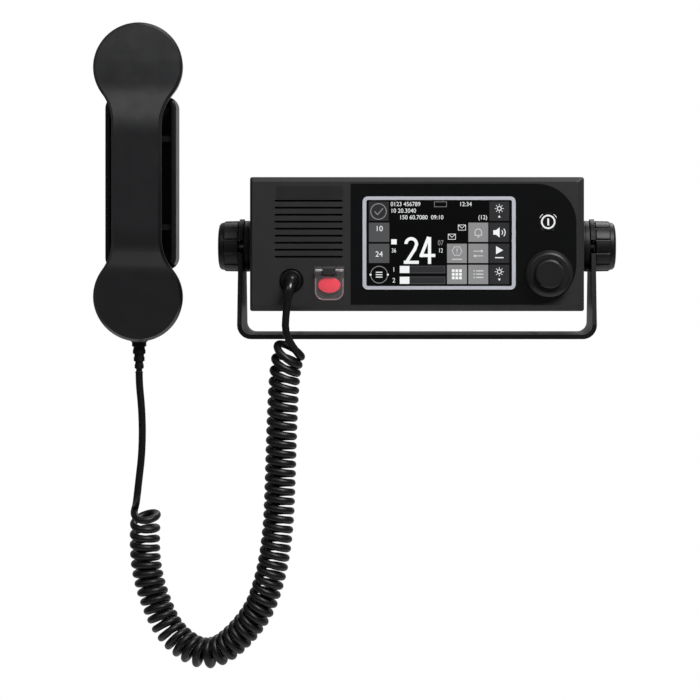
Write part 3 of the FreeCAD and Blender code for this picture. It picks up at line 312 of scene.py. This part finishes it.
def add_plate():
    """Bare plate above the grille."""
    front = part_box("front_bezel")[0].y - PLATE_PROUD
    plate = rounded_plate("bare_plate", PLATE_MIDDLE, PLATE_SIZE, PLATE_CORNER, front, PLATE_THICKNESS)
    plate.data.materials.append(MATERIALS["plate"])
    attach(plate, "radio")


# Lip of the clear cover: its radius and inset, and its corner radius and straight sides
LIP_R, LIP_INSET = 0.0004, 0.0005
LIP_CORNER, LIP_SIDES = 0.0055, (0.0095, 0.014)


def add_cover_lip():
    """Raised lip round the lower edge of the clear cover, in a paler, pinker and less clear plastic: a
    painted glint tinted by the red button.
    """
    low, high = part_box("call_cover")
    left, right, bottom = low.x + LIP_INSET, high.x - LIP_INSET, low.z + LIP_INSET
    y = low.y + LIP_R
    path = [Vector((left, y, bottom + up)) for up in reversed(LIP_SIDES)]
    for centre, first in ((left + LIP_CORNER, 180), (right - LIP_CORNER, 270)):
        for k in range(10):
            angle = math.radians(first + 10 * k)
            path.append(Vector((centre + LIP_CORNER * math.cos(angle), y,
                                bottom + LIP_CORNER + LIP_CORNER * math.sin(angle))))
    path += [Vector((right, y, bottom + up)) for up in LIP_SIDES]
    lip = tube("cover_lip", path, [LIP_R] * len(path), sides=8)
    lip.data.materials.append(MATERIALS["lip"])
    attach(lip, "cover")


# Materials: noise lies mostly within this span

TEXTURE_SPAN = (0.3, 0.7)


def node(tree, kind, **inputs):
    """New shader node with its constants."""
    made = tree.nodes.new(kind)
    for name, value in inputs.items():
        made.inputs[name.replace("_", " ")].default_value = value
    return made


def combined(tree, operation, first, second):
    """Two numbers put together by a Math node."""
    made = node(tree, "ShaderNodeMath")
    made.operation = operation
    tree.links.new(first, made.inputs[0])
    tree.links.new(second, made.inputs[1])
    return made.outputs["Value"]


def principled(name, colour, roughness, metallic=0.0, specular=0.5):
    """New material with a Principled shader and its constants."""
    material = bpy.data.materials.new(name)
    material.use_nodes = True
    shader = material.node_tree.nodes["Principled BSDF"]
    shader.inputs["Base Color"].default_value = (*colour, 1)
    shader.inputs["Roughness"].default_value = roughness
    shader.inputs["Metallic"].default_value = metallic
    shader.inputs["Specular IOR Level"].default_value = specular
    return material, material.node_tree, shader


def noise(tree, scale, detail=4.0, stretch=None):
    """Noise texture in object space, stretched along an axis if asked."""
    texture = node(tree, "ShaderNodeTexNoise", Scale=scale, Detail=detail)
    source = node(tree, "ShaderNodeTexCoord").outputs["Object"]
    if stretch:
        mapping = node(tree, "ShaderNodeMapping", Scale=stretch)
        tree.links.new(source, mapping.inputs["Vector"])
        source = mapping.outputs["Vector"]
    tree.links.new(source, texture.inputs["Vector"])
    return texture.outputs["Fac"]


def ramp(tree, source, low, high):
    """Colours between two limits, driven by a texture."""
    made = node(tree, "ShaderNodeValToRGB")
    for element, position, colour in zip(made.color_ramp.elements, TEXTURE_SPAN, (low, high)):
        element.position = position
        element.color = (*colour, 1)
    tree.links.new(source, made.inputs["Fac"])
    return made.outputs["Color"]


def span(tree, source, low, high):
    """Number between two limits, driven by a texture."""
    made = node(tree, "ShaderNodeMapRange", From_Min=TEXTURE_SPAN[0], From_Max=TEXTURE_SPAN[1],
                To_Min=low, To_Max=high)
    tree.links.new(source, made.inputs["Value"])
    return made.outputs["Result"]


def bump(tree, shader, source, strength, depth):
    """Bump from a texture."""
    made = node(tree, "ShaderNodeBump", Strength=strength, Distance=depth)
    tree.links.new(source, made.inputs["Height"])
    tree.links.new(made.outputs["Normal"], shader.inputs["Normal"])


def moulded(name, colour, roughness, grain=1800, grain_depth=0.00004, spread=0.12, specular=0.5):
    """Moulded plastic, rubber or paint: cloudy tone, slightly uneven sheen and a fine grain."""
    material, tree, shader = principled(name, colour, roughness, specular=specular)
    clouds = noise(tree, 35)
    low = [c * (1 - spread) for c in colour]
    high = [min(1, c * (1 + spread)) for c in colour]
    tree.links.new(ramp(tree, clouds, low, high), shader.inputs["Base Color"])
    sheen = span(tree, noise(tree, 90), roughness - 0.02, roughness + 0.03)
    tree.links.new(sheen, shader.inputs["Roughness"])
    bump(tree, shader, noise(tree, grain, 2), 0.35, grain_depth)
    return material


def metal(name, colour, roughness, stretch):
    """Metal with fine lines along one direction."""
    material, tree, shader = principled(name, colour, roughness, metallic=1.0)
    lines = noise(tree, 400, 3, stretch)
    tree.links.new(ramp(tree, lines, [c * 0.85 for c in colour], colour), shader.inputs["Base Color"])
    tree.links.new(span(tree, lines, roughness - 0.06, roughness + 0.08), shader.inputs["Roughness"])
    bump(tree, shader, lines, 0.2, 0.00002)
    return material


def glowing(name, colour, strength=1.0):
    """A lit part of the screen's picture, seen through polished glass."""
    material, tree, shader = principled(name, (0, 0, 0), 0.12)
    shader.inputs["Emission Strength"].default_value = strength
    lines = noise(tree, 60, 1)
    tree.links.new(ramp(tree, lines, [c * 0.94 for c in colour], colour), shader.inputs["Emission Color"])
    return material


def clear_plastic(name, colour, alpha):
    """Clear moulding: mostly see-through, with a polished face."""
    material, tree, shader = principled(name, colour, 0.06)
    shader.inputs["Alpha"].default_value = alpha
    clouds = noise(tree, 200)
    tree.links.new(ramp(tree, clouds, [c * 0.95 for c in colour], colour), shader.inputs["Base Color"])
    tree.links.new(span(tree, clouds, 0.03, 0.08), shader.inputs["Roughness"])
    return material


def silver(name, colour):
    """Satin silver of the display's frame: half metal, with a fine even grain."""
    material, tree, shader = principled(name, colour, 0.4, metallic=0.4)
    grain = noise(tree, 2600, 2)
    tree.links.new(ramp(tree, grain, [c * 0.93 for c in colour], colour), shader.inputs["Base Color"])
    tree.links.new(span(tree, noise(tree, 300), 0.36, 0.44), shader.inputs["Roughness"])
    bump(tree, shader, grain, 0.2, 0.00001)
    return material


MATERIALS = {
    "bezel": moulded("bezel_plastic", (0.0130, 0.0130, 0.0135), 0.55, specular=0.4),
    "plate": moulded("bare_plate", (0.0095, 0.0095, 0.0100), 0.45, specular=0.4),
    "panel": moulded("panel_gloss", (0.0022, 0.0024, 0.0028), 0.16, grain=300, grain_depth=0.000004,
                     specular=0.35),
    "key": moulded("key_gloss", (0.0040, 0.0040, 0.0045), 0.12, grain=300, grain_depth=0.000004),
    "case": moulded("case_paint", (0.0070, 0.0070, 0.0075), 0.5, grain=2600, specular=0.35),
    "bracket": moulded("bracket_paint", (0.0030, 0.0030, 0.0032), 0.5, grain=2600, specular=0.2),
    "knob": moulded("knob_plastic", (0.0022, 0.0022, 0.0025), 0.42, grain=2200, specular=0.3),
    "dial": moulded("dial_plastic", (0.0070, 0.0070, 0.0074), 0.45, grain=2600, specular=0.3),
    "washer": moulded("washer_plastic", (0.0022, 0.0022, 0.0024), 0.5, specular=0.3),
    "handset": moulded("handset_plastic", (0.0018, 0.0021, 0.0032), 0.33, grain=2400, grain_depth=0.00001,
                       specular=0.85),
    "cradle": moulded("cradle_plastic", (0.0022, 0.0022, 0.0025), 0.38, grain=2200, specular=0.35),
    "rubber": moulded("rubber", (0.0022, 0.0022, 0.0022), 0.6, grain=2600, specular=0.2),
    "boot": moulded("boot_rubber", (0.0030, 0.0030, 0.0030), 0.25, grain=2600, grain_depth=0.00001),
    "cord": moulded("cord_sheath", (0.0022, 0.0022, 0.0022), 0.42, grain=3000, grain_depth=0.00001,
                    specular=0.3),
    "red": moulded("red_plastic", (0.86, 0.028, 0.065), 0.25, grain=300, grain_depth=0.00001, spread=0.04),
    # The cover's faint pink is the red button's colour painted into the clear plastic: painted reflection.
    "clear": clear_plastic("clear_plastic", (0.80, 0.74, 0.75), 0.035),
    # The lip's pale pink and its lower clearness are a painted glint, tinted by the red button below.
    "lip": clear_plastic("clear_lip_painted_glint", (0.70, 0.42, 0.45), 0.22),
    "frame": silver("frame_metal", (0.66, 0.67, 0.74)),
    "steel": metal("steel", (0.52, 0.52, 0.53), 0.35, (8, 1, 1)),
    "brass": metal("plated_brass", (0.68, 0.64, 0.52), 0.3, (1, 8, 1)),
    "inner": moulded("inner_plastic", (0.012, 0.012, 0.013), 0.7),
    "mesh": moulded("speaker_cloth", (0.003, 0.003, 0.003), 0.8, grain=900, grain_depth=0.0001),
    "board": moulded("board", (0.01, 0.09, 0.04), 0.4),
    "glass": moulded("screen_glass", (0.0010, 0.0010, 0.0012), 0.1, grain=200, grain_depth=0.000002,
                     specular=0.3),
}

NODE_MATERIALS = {
    "bezel": ["front_bezel", "cover_hinge"],
    "panel": ["face_panel"],
    "key": ["power_key"],
    "case": ["case_shell"],
    "bracket": ["bracket"],
    "knob": ["clamp_knob_left", "clamp_knob_right", "cord_gland", "ptt_button", "data_socket_1",
             "data_socket_2", "data_socket_3", "power_socket"],
    "dial": ["dial_ring", "dial_cap"],
    "washer": ["friction_washer_left", "friction_washer_right"],
    "handset": ["handset_outer", "handset_inner", "ear_cap", "mouth_cap"],
    "cradle": ["cradle_body"],
    "rubber": ["front_gasket", "handset_boot", "cradle_pad_lower", "cradle_pad_upper"],
    "red": ["call_button"],
    "clear": ["call_cover"],
    "frame": ["display_frame"],
    "steel": ["clamp_stud_left", "clamp_stud_right", "hinge_pin", "dial_shaft", "speaker_frame",
              "case_screw_1", "case_screw_2", "case_screw_3", "case_screw_4", "transmitter_module"],
    "brass": ["antenna_socket", "ground_terminal"],
    "inner": ["display_module", "speaker_cone", "encoder", "key_switch", "call_switch", "receiver_capsule",
              "microphone_capsule"],
    "mesh": ["speaker_mesh"],
    "board": ["main_board"],
    "glass": ["screen_glass"],
}


def dress_nodes():
    """Gives every CAD node its material."""
    for key, names in NODE_MATERIALS.items():
        for name in names:
            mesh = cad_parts[name].data
            mesh.materials.clear()
            mesh.materials.append(MATERIALS[key])


# Screen picture: places are measured from the picture's top left corner, in millimetres

SCREEN_WIDTH, SCREEN_HEIGHT = 93.6, 56.2
TILE_PITCH = 14.05
TILE_WIDTH, TILE_HEIGHT = 13.2, 12.8
TILE_COLUMNS = {"left": 0.0, "a": 52.1, "b": 66.3, "c": 80.3}
LAYER = 0.06


class Picture:
    """Flat pieces of one tone of the screen's picture, gathered into one mesh."""

    def __init__(self, name, material, layer):
        low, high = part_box("screen_glass")
        self.left = (low.x + high.x) / 2 - SCREEN_WIDTH / 2 * MM
        self.top = (low.z + high.z) / 2 + SCREEN_HEIGHT / 2 * MM
        self.back = low.y
        self.front = low.y - layer * LAYER * MM
        self.name, self.material = name, material
        self.bm = bmesh.new()

    def shape(self, points):
        """A filled outline."""
        faces = []
        for y in (self.front, self.back):
            verts = [self.bm.verts.new((self.left + u * MM, y, self.top - v * MM)) for u, v in points]
            faces.append(verts)
        count = len(points)
        self.bm.faces.new(faces[0])
        self.bm.faces.new(list(reversed(faces[1])))
        for i in range(count):
            j = (i + 1) % count
            self.bm.faces.new((faces[0][i], faces[1][i], faces[1][j], faces[0][j]))

    def box(self, u, v, width, height):
        """A filled rectangle from its top left corner."""
        self.shape([(u, v), (u + width, v), (u + width, v + height), (u, v + height)])

    def outline(self, u, v, width, height, line):
        """A rectangular line."""
        self.box(u, v, width, line)
        self.box(u, v + height - line, width, line)
        self.box(u, v + line, line, height - 2 * line)
        self.box(u + width - line, v + line, line, height - 2 * line)

    def stroke(self, points, line, closed=False):
        """A line of even width through points."""
        ends = points[1:] + points[:1] if closed else points[1:]
        for (u0, v0), (u1, v1) in zip(points, ends):
            length = math.hypot(u1 - u0, v1 - v0)
            du, dv = (u1 - u0) / length * line / 2, (v1 - v0) / length * line / 2
            self.shape([(u0 - du - dv, v0 - dv + du), (u0 - du + dv, v0 - dv - du),
                        (u1 + du + dv, v1 + dv - du), (u1 + du - dv, v1 + dv + du)])

    def arc(self, u, v, radius, line, start, end, steps=24):
        """A curved line, with angles in degrees clockwise from the right."""
        turns = [math.radians(start + (end - start) * i / steps) for i in range(steps + 1)]
        inner, outer = ([(u + r * math.cos(turn), v + r * math.sin(turn)) for turn in turns]
                        for r in (radius - line / 2, radius + line / 2))
        for i in range(steps):
            self.shape([inner[i], inner[i + 1], outer[i + 1], outer[i]])

    def done(self):
        """The finished piece."""
        piece = from_bmesh(self.name, self.bm)
        piece.data.materials.append(self.material)
        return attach(piece, "radio")


def tile_place(column, row):
    """Top left corner of a tile."""
    return TILE_COLUMNS[column], 0.5 + TILE_PITCH * row


# Numbers: height of a digit for a font size of 1, and how thick and how far out they are
DIGIT_SHARE = 0.7
DIGIT_THICKNESS, DIGIT_PROUD = 0.00003, 0.0002


def add_numbers(name, body, size, u, v, material, align="LEFT", condensed=1.0):
    """Plain numbers on the screen, placed by the baseline's start, end or middle."""
    low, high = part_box("screen_glass")
    data = bpy.data.curves.new(name, "FONT")
    data.body = body
    data.size = size * MM / DIGIT_SHARE
    data.align_x = align
    data.extrude = DIGIT_THICKNESS
    text = bpy.data.objects.new(name, data)
    bpy.context.scene.collection.objects.link(text)
    left = (low.x + high.x) / 2 - SCREEN_WIDTH / 2 * MM
    top = (low.z + high.z) / 2 + SCREEN_HEIGHT / 2 * MM
    text.location = (left + u * MM, low.y - DIGIT_PROUD, top - v * MM)
    text.rotation_euler = (math.radians(90), 0, 0)
    text.scale = (condensed, 1, 1)
    bpy.context.view_layer.update()
    mesh = bpy.data.meshes.new_from_object(text)
    mesh.transform(text.matrix_world)
    bpy.data.objects.remove(text)
    piece = bpy.data.objects.new(name, mesh)
    mesh.materials.clear()
    mesh.materials.append(material)
    bpy.context.scene.collection.objects.link(piece)
    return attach(piece, "radio")


def add_screen():
    """The screen's tiles, bars, icons and plain numbers."""
    white = glowing("screen_white", (0.93, 0.95, 0.95))
    light = glowing("screen_light", (0.27, 0.27, 0.275))
    middle = glowing("screen_middle", (0.085, 0.086, 0.09))
    dark = glowing("screen_dark", (0.028, 0.028, 0.031))
    tiles = Picture("screen_tiles_light", light, 1)
    for column, row in (("a", 2), ("a", 3), ("b", 1), ("b", 2), ("b", 3)):
        tiles.box(*tile_place(column, row), TILE_WIDTH, TILE_HEIGHT)
    tiles.done()
    tiles = Picture("screen_tiles_middle", middle, 1)
    for row in (1, 2):
        tiles.box(*tile_place("left", row), TILE_WIDTH + 0.4, TILE_HEIGHT)
    for v in (43.3, 50.5):
        tiles.outline(20.5, v, 30.3, 4.9, 0.35)
    tiles.done()
    tiles = Picture("screen_tiles_dark", dark, 1)
    for column, row in (("left", 0), ("c", 0), ("c", 1), ("c", 2), ("c", 3)):
        tiles.box(*tile_place(column, row), TILE_WIDTH, TILE_HEIGHT)
    for v in (43.7, 50.9):
        tiles.box(20.9, v, 29.5, 4.1)
    tiles.done()
    grey = Picture("screen_lines", light, 2)
    grey.arc(6.4, 7.1, 5.2, 0.55, 0, 360, 40)
    grey.stroke([(4.0, 7.3), (5.8, 9.2), (9.2, 5.2)], 0.6)
    grey.arc(6.8, 49.2, 5.6, 0.45, 0, 360, 40)
    grey.outline(43.5, 0.5, 8.4, 3.6, 0.3)
    grey.done()
    icons(white)
    number = Picture("screen_channel", white, 3)
    line = 2.1
    number.arc(28.2, 28.7, 3.5, line, 180, 378, 24)
    number.stroke([(31.6, 29.5), (30.5, 32.3), (25.2, 40.6)], line)
    number.stroke([(24.3, 40.95), (32.2, 40.95)], line)
    number.stroke([(39.4, 25.0), (34.9, 36.4), (43.2, 36.4)], line)
    number.stroke([(40.4, 25.2), (40.4, 40.95)], line)
    number.done()
    for name, body, size, u, v, material, align, condensed in (
            ("screen_row_1", "0123 456789", 2.8, 14.4, 3.5, white, "LEFT", 0.95),
            ("screen_row_2", "10 20.3040", 2.8, 14.4, 7.9, white, "LEFT", 0.95),
            ("screen_row_3", "150 60.7080  09:10", 2.8, 20.2, 12.3, white, "LEFT", 0.95),
            ("screen_clock", "12:34", 2.8, 60.2, 3.5, white, "LEFT", 0.95),
            ("screen_count", "(12)", 2.8, 79.0, 12.3, white, "RIGHT", 0.95),
            ("screen_left_1", "10", 3.6, 6.8, 20.2, white, "CENTER", 1.0),
            ("screen_left_2", "24", 3.6, 6.8, 37.2, white, "CENTER", 1.0),
            ("screen_side_1", "07", 3.4, 47.8, 29.6, light, "CENTER", 0.8),
            ("screen_side_2", "12", 2.8, 47.8, 34.4, white, "CENTER", 0.8),
            ("screen_side_3", "36", 2.8, 16.6, 34.4, white, "CENTER", 0.8),
            ("screen_bar_1", "1", 3.0, 16.6, 47.2, white, "CENTER", 0.9),
            ("screen_bar_2", "2", 3.0, 16.6, 54.4, white, "CENTER", 0.9)):
        add_numbers(name, body, size, u, v, material, align, condensed)


def icons(white):
    """Icons: sliders, envelopes, loudspeaker, play, brightness, grid, menu, warning, bell and arrows."""
    art = Picture("screen_icons", white, 3)
    for v in (43.4, 50.6):
        art.box(20.6, v, 6.4, 4.7)
    for u, v in ((62.0, 17.8), (55.3, 23.9)):
        art.outline(u - 2.6, v - 1.9, 5.2, 3.8, 0.32)
        art.stroke([(u - 2.4, v - 1.7), (u, v + 0.4), (u + 2.4, v - 1.7)], 0.32)
    art.box(14.9, 25.6, 3.6, 3.4)
    u, v = tile_place("c", 1)
    art.shape([(u + 2.6, v + 5.0), (u + 4.4, v + 5.0), (u + 6.8, v + 3.1), (u + 6.8, v + 9.9),
               (u + 4.4, v + 8.0), (u + 2.6, v + 8.0)])
    art.arc(u + 6.6, v + 6.5, 2.2, 0.55, -40, 40, 8)
    art.arc(u + 6.6, v + 6.5, 3.9, 0.55, -40, 40, 8)
    u, v = tile_place("c", 2)
    art.shape([(u + 4.4, v + 1.6), (u + 9.2, v + 4.3), (u + 4.4, v + 7.0)])
    art.box(u + 3.8, v + 8.9, 5.6, 0.7)
    for row, tip in ((0, -1), (3, 1)):
        u, v = tile_place("c", row)
        art.arc(u + 6.6, v + 4.6, 1.3, 0.5, 0, 360, 16)
        for k in range(8):
            c, s = math.cos(math.pi * k / 4), math.sin(math.pi * k / 4)
            art.stroke([(u + 6.6 + 2.1 * c, v + 4.6 + 2.1 * s), (u + 6.6 + 2.8 * c, v + 4.6 + 2.8 * s)], 0.35)
        art.shape([(u + 5.7, v + 9.9 - 0.7 * tip), (u + 6.6, v + 9.9 + 0.8 * tip),
                   (u + 7.5, v + 9.9 - 0.7 * tip)])
    u, v = tile_place("a", 3)
    for i in range(3):
        for j in range(3):
            art.box(u + 3.2 + i * 2.4, v + 3.0 + j * 2.4, 1.8, 1.8)
    art.arc(1.1, 49.2, 0.35, 0.7, 0, 360, 10)
    art.arc(12.6, 49.2, 0.35, 0.7, 0, 360, 10)
    for i in range(3):
        art.box(4.6, 47.3 + i * 1.6, 4.4, 0.6)
    art.done()
    tiles = Picture("screen_tile_icons", glowing("screen_pale", (0.62, 0.63, 0.64)), 3)
    u, v = tile_place("a", 2)
    hexagon = [(u + 6.6 + 3.3 * math.cos(math.pi * k / 3), v + 4.9 + 3.3 * math.sin(math.pi * k / 3))
               for k in range(6)]
    tiles.stroke(hexagon, 0.45, closed=True)
    tiles.box(u + 6.3, v + 3.1, 0.6, 2.3)
    tiles.box(u + 6.3, v + 6.1, 0.6, 0.6)
    tiles.box(u + 3.2, v + 10.0, 6.8, 0.7)
    u, v = tile_place("b", 1)
    tiles.arc(u + 6.6, v + 6.4, 2.2, 0.55, 180, 360, 12)
    tiles.stroke([(u + 4.4, v + 6.4), (u + 4.4, v + 8.4), (u + 8.8, v + 8.4), (u + 8.8, v + 6.4)], 0.55)
    tiles.box(u + 6.0, v + 9.0, 1.2, 0.8)
    u, v = tile_place("b", 2)
    for dv, tip in ((4.9, 1), (8.1, -1)):
        tiles.stroke([(u + 6.6 - 3.0 * tip, v + dv), (u + 6.6 + 2.6 * tip, v + dv)], 0.55)
        tiles.shape([(u + 6.6 + 1.8 * tip, v + dv - 1.1), (u + 6.6 + 3.5 * tip, v + dv),
                     (u + 6.6 + 1.8 * tip, v + dv + 1.1)])
    u, v = tile_place("b", 3)
    for i in range(3):
        tiles.box(u + 3.4, v + 3.6 + i * 2.2, 1.0, 0.8)
        tiles.box(u + 5.2, v + 3.6 + i * 2.2, 4.8, 0.8)
    tiles.done()


# Mark on the power key: radii of its printed ring, its bar's half sizes, and its two arcs of painted
# highlight from the key's rim, in degrees
RING_RADII, GLINT_ARC_RADII = (0.0037, 0.0048), (0.0060, 0.0064)
BAR_HALF_WIDTH, BAR_HALF_HEIGHT = 0.0006, 0.0023
GLINT_ARC_STARTS, GLINT_ARC_SPAN = (205, 305), 30
MARK_PROUD, MARK_DEPTH = 0.00005, 0.0004


def add_key_mark():
    """Printed ring and bar on the power key, and two arcs in the same white that are painted highlights of
    its rim.
    """
    low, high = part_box("power_key")
    x, z = (low.x + high.x) / 2, (low.z + high.z) / 2
    front, back = low.y - MARK_PROUD, low.y + MARK_DEPTH
    bm = bmesh.new()

    def curve(radius, y, angles):
        return [bm.verts.new((x + radius * math.cos(a), y, z - radius * math.sin(a))) for a in angles]

    def band(radii, angles, closed):
        """A curved strip with a front, a back and two sides, and with ends unless it is closed."""
        corners = ((radii[0], back), (radii[0], front), (radii[1], front), (radii[1], back))
        loops = [curve(radius, y, angles) for radius, y in corners]
        count = len(angles)
        for a, b in zip(loops, loops[1:] + loops[:1]):
            for k in range(count if closed else count - 1):
                bm.faces.new((a[k], a[(k + 1) % count], b[(k + 1) % count], b[k]))
        if not closed:
            for k in (0, count - 1):
                bm.faces.new([loop[k] for loop in loops])

    band(RING_RADII, [2 * math.pi * k / 48 for k in range(48)], closed=True)
    corners = [(-BAR_HALF_WIDTH, -BAR_HALF_HEIGHT), (BAR_HALF_WIDTH, -BAR_HALF_HEIGHT),
               (BAR_HALF_WIDTH, BAR_HALF_HEIGHT), (-BAR_HALF_WIDTH, BAR_HALF_HEIGHT)]
    rings = [[bm.verts.new((x + dx, y, z + dz)) for dx, dz in corners] for y in (front, back)]
    bm.faces.new(rings[0])
    bm.faces.new(list(reversed(rings[1])))
    for k in range(4):
        bm.faces.new((rings[0][k], rings[0][(k + 1) % 4], rings[1][(k + 1) % 4], rings[1][k]))
    # The two arcs are painted highlights: the key rim's reflections, drawn in the mark's white.
    for first in GLINT_ARC_STARTS:
        band(GLINT_ARC_RADII, [math.radians(first + GLINT_ARC_SPAN * k / 6) for k in range(7)], closed=False)
    piece = from_bmesh("power_mark_and_painted_glints", bm)
    piece.data.materials.append(moulded("mark_white_and_painted_glints", (0.85, 0.86, 0.86), 0.35, spread=0.03))
    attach(piece, "power")


def seen_directly(tree, behind=None):
    """Share of white for rays from the camera, through glass, and off a surface if the view is behind."""
    path = node(tree, "ShaderNodeLightPath")
    glossy = path.outputs["Is Glossy Ray"]
    if behind:
        glossy = combined(tree, "MULTIPLY", glossy, behind)
    through = combined(tree, "MAXIMUM", path.outputs["Is Camera Ray"], path.outputs["Is Transmission Ray"])
    return combined(tree, "MAXIMUM", through, glossy)


def mixed(tree, share, first, second):
    """Two shaders mixed."""
    made = node(tree, "ShaderNodeMixShader")
    tree.links.new(share, made.inputs["Fac"])
    tree.links.new(first, made.inputs[1])
    tree.links.new(second, made.inputs[2])
    return made.outputs["Shader"]


def add_floor():
    """Pale floor under the hanging cord, which keeps the object's shadow and fades into the background.

    It is open from below."""
    material = bpy.data.materials.new("stage_floor")
    material.use_nodes = True
    tree = material.node_tree
    tree.nodes.clear()
    output = node(tree, "ShaderNodeOutputMaterial")
    plain = node(tree, "ShaderNodeBsdfDiffuse", Color=(0.86, 0.86, 0.86, 1))
    bright = node(tree, "ShaderNodeEmission", Color=(1, 1, 1, 1), Strength=1.0)
    clear = node(tree, "ShaderNodeBsdfTransparent")
    coordinates = node(tree, "ShaderNodeTexCoord")
    length = node(tree, "ShaderNodeVectorMath")
    length.operation = "LENGTH"
    tree.links.new(coordinates.outputs["Object"], length.inputs[0])
    fade = node(tree, "ShaderNodeMapRange", From_Min=0.35 * FLOOR_R, From_Max=0.97 * FLOOR_R)
    fade.interpolation_type = "SMOOTHSTEP"
    tree.links.new(length.outputs["Value"], fade.inputs["Value"])
    share = combined(tree, "MULTIPLY", fade.outputs["Result"], seen_directly(tree))
    top = mixed(tree, share, plain.outputs["BSDF"], bright.outputs["Emission"])
    underside = node(tree, "ShaderNodeNewGeometry").outputs["Backfacing"]
    tree.links.new(mixed(tree, underside, top, clear.outputs["BSDF"]), output.inputs["Surface"])
    bm = bmesh.new()
    bmesh.ops.create_circle(bm, cap_ends=True, radius=FLOOR_R, segments=96)
    floor = from_bmesh("stage_floor", bm)
    if floor.data.polygons[0].normal.z < 0:
        floor.data.flip_normals()
    floor.location = FLOOR_PLACE
    floor.data.materials.append(material)


def add_light():
    """White background, an even soft light all round, and soft lamps with the key high on the right.

    Glossy surfaces see the white only behind the object and at half strength, so that black stays black."""
    world = bpy.data.worlds.new("world")
    bpy.context.scene.world = world
    world.use_nodes = True
    tree = world.node_tree
    dim = tree.nodes["Background"]
    dim.inputs["Color"].default_value = (1, 1, 1, 1)
    dim.inputs["Strength"].default_value = WORLD_LEVEL
    bright = node(tree, "ShaderNodeBackground", Color=(1, 1, 1, 1), Strength=1.0)
    coordinates = node(tree, "ShaderNodeTexCoord")
    axes = node(tree, "ShaderNodeSeparateXYZ")
    tree.links.new(coordinates.outputs["Generated"], axes.inputs["Vector"])
    behind = node(tree, "ShaderNodeMapRange", From_Min=0.3, From_Max=0.95, To_Max=0.5)
    tree.links.new(axes.outputs["Y"], behind.inputs["Value"])
    share = seen_directly(tree, behind.outputs["Result"])
    light = mixed(tree, share, dim.outputs["Background"], bright.outputs["Background"])
    tree.links.new(light, tree.nodes["World Output"].inputs["Surface"])
    for name, place, size, power in LAMPS:
        data = bpy.data.lights.new(name, "AREA")
        data.size = size
        data.energy = power
        lamp = bpy.data.objects.new(name, data)
        lamp.location = place
        aim = Vector(LAMP_AIM) - Vector(place)
        lamp.rotation_euler = aim.to_track_quat("-Z", "Y").to_euler()
        bpy.context.scene.collection.objects.link(lamp)


add_camera()
for cord_piece in add_cords():
    cord_piece.data.materials.append(MATERIALS["cord"])
dress_nodes()
add_boot()
add_plate()
add_cover_lip()
add_screen()
add_key_mark()
add_floor()
add_light()
bpy.context.scene.view_settings.view_transform = "Standard"
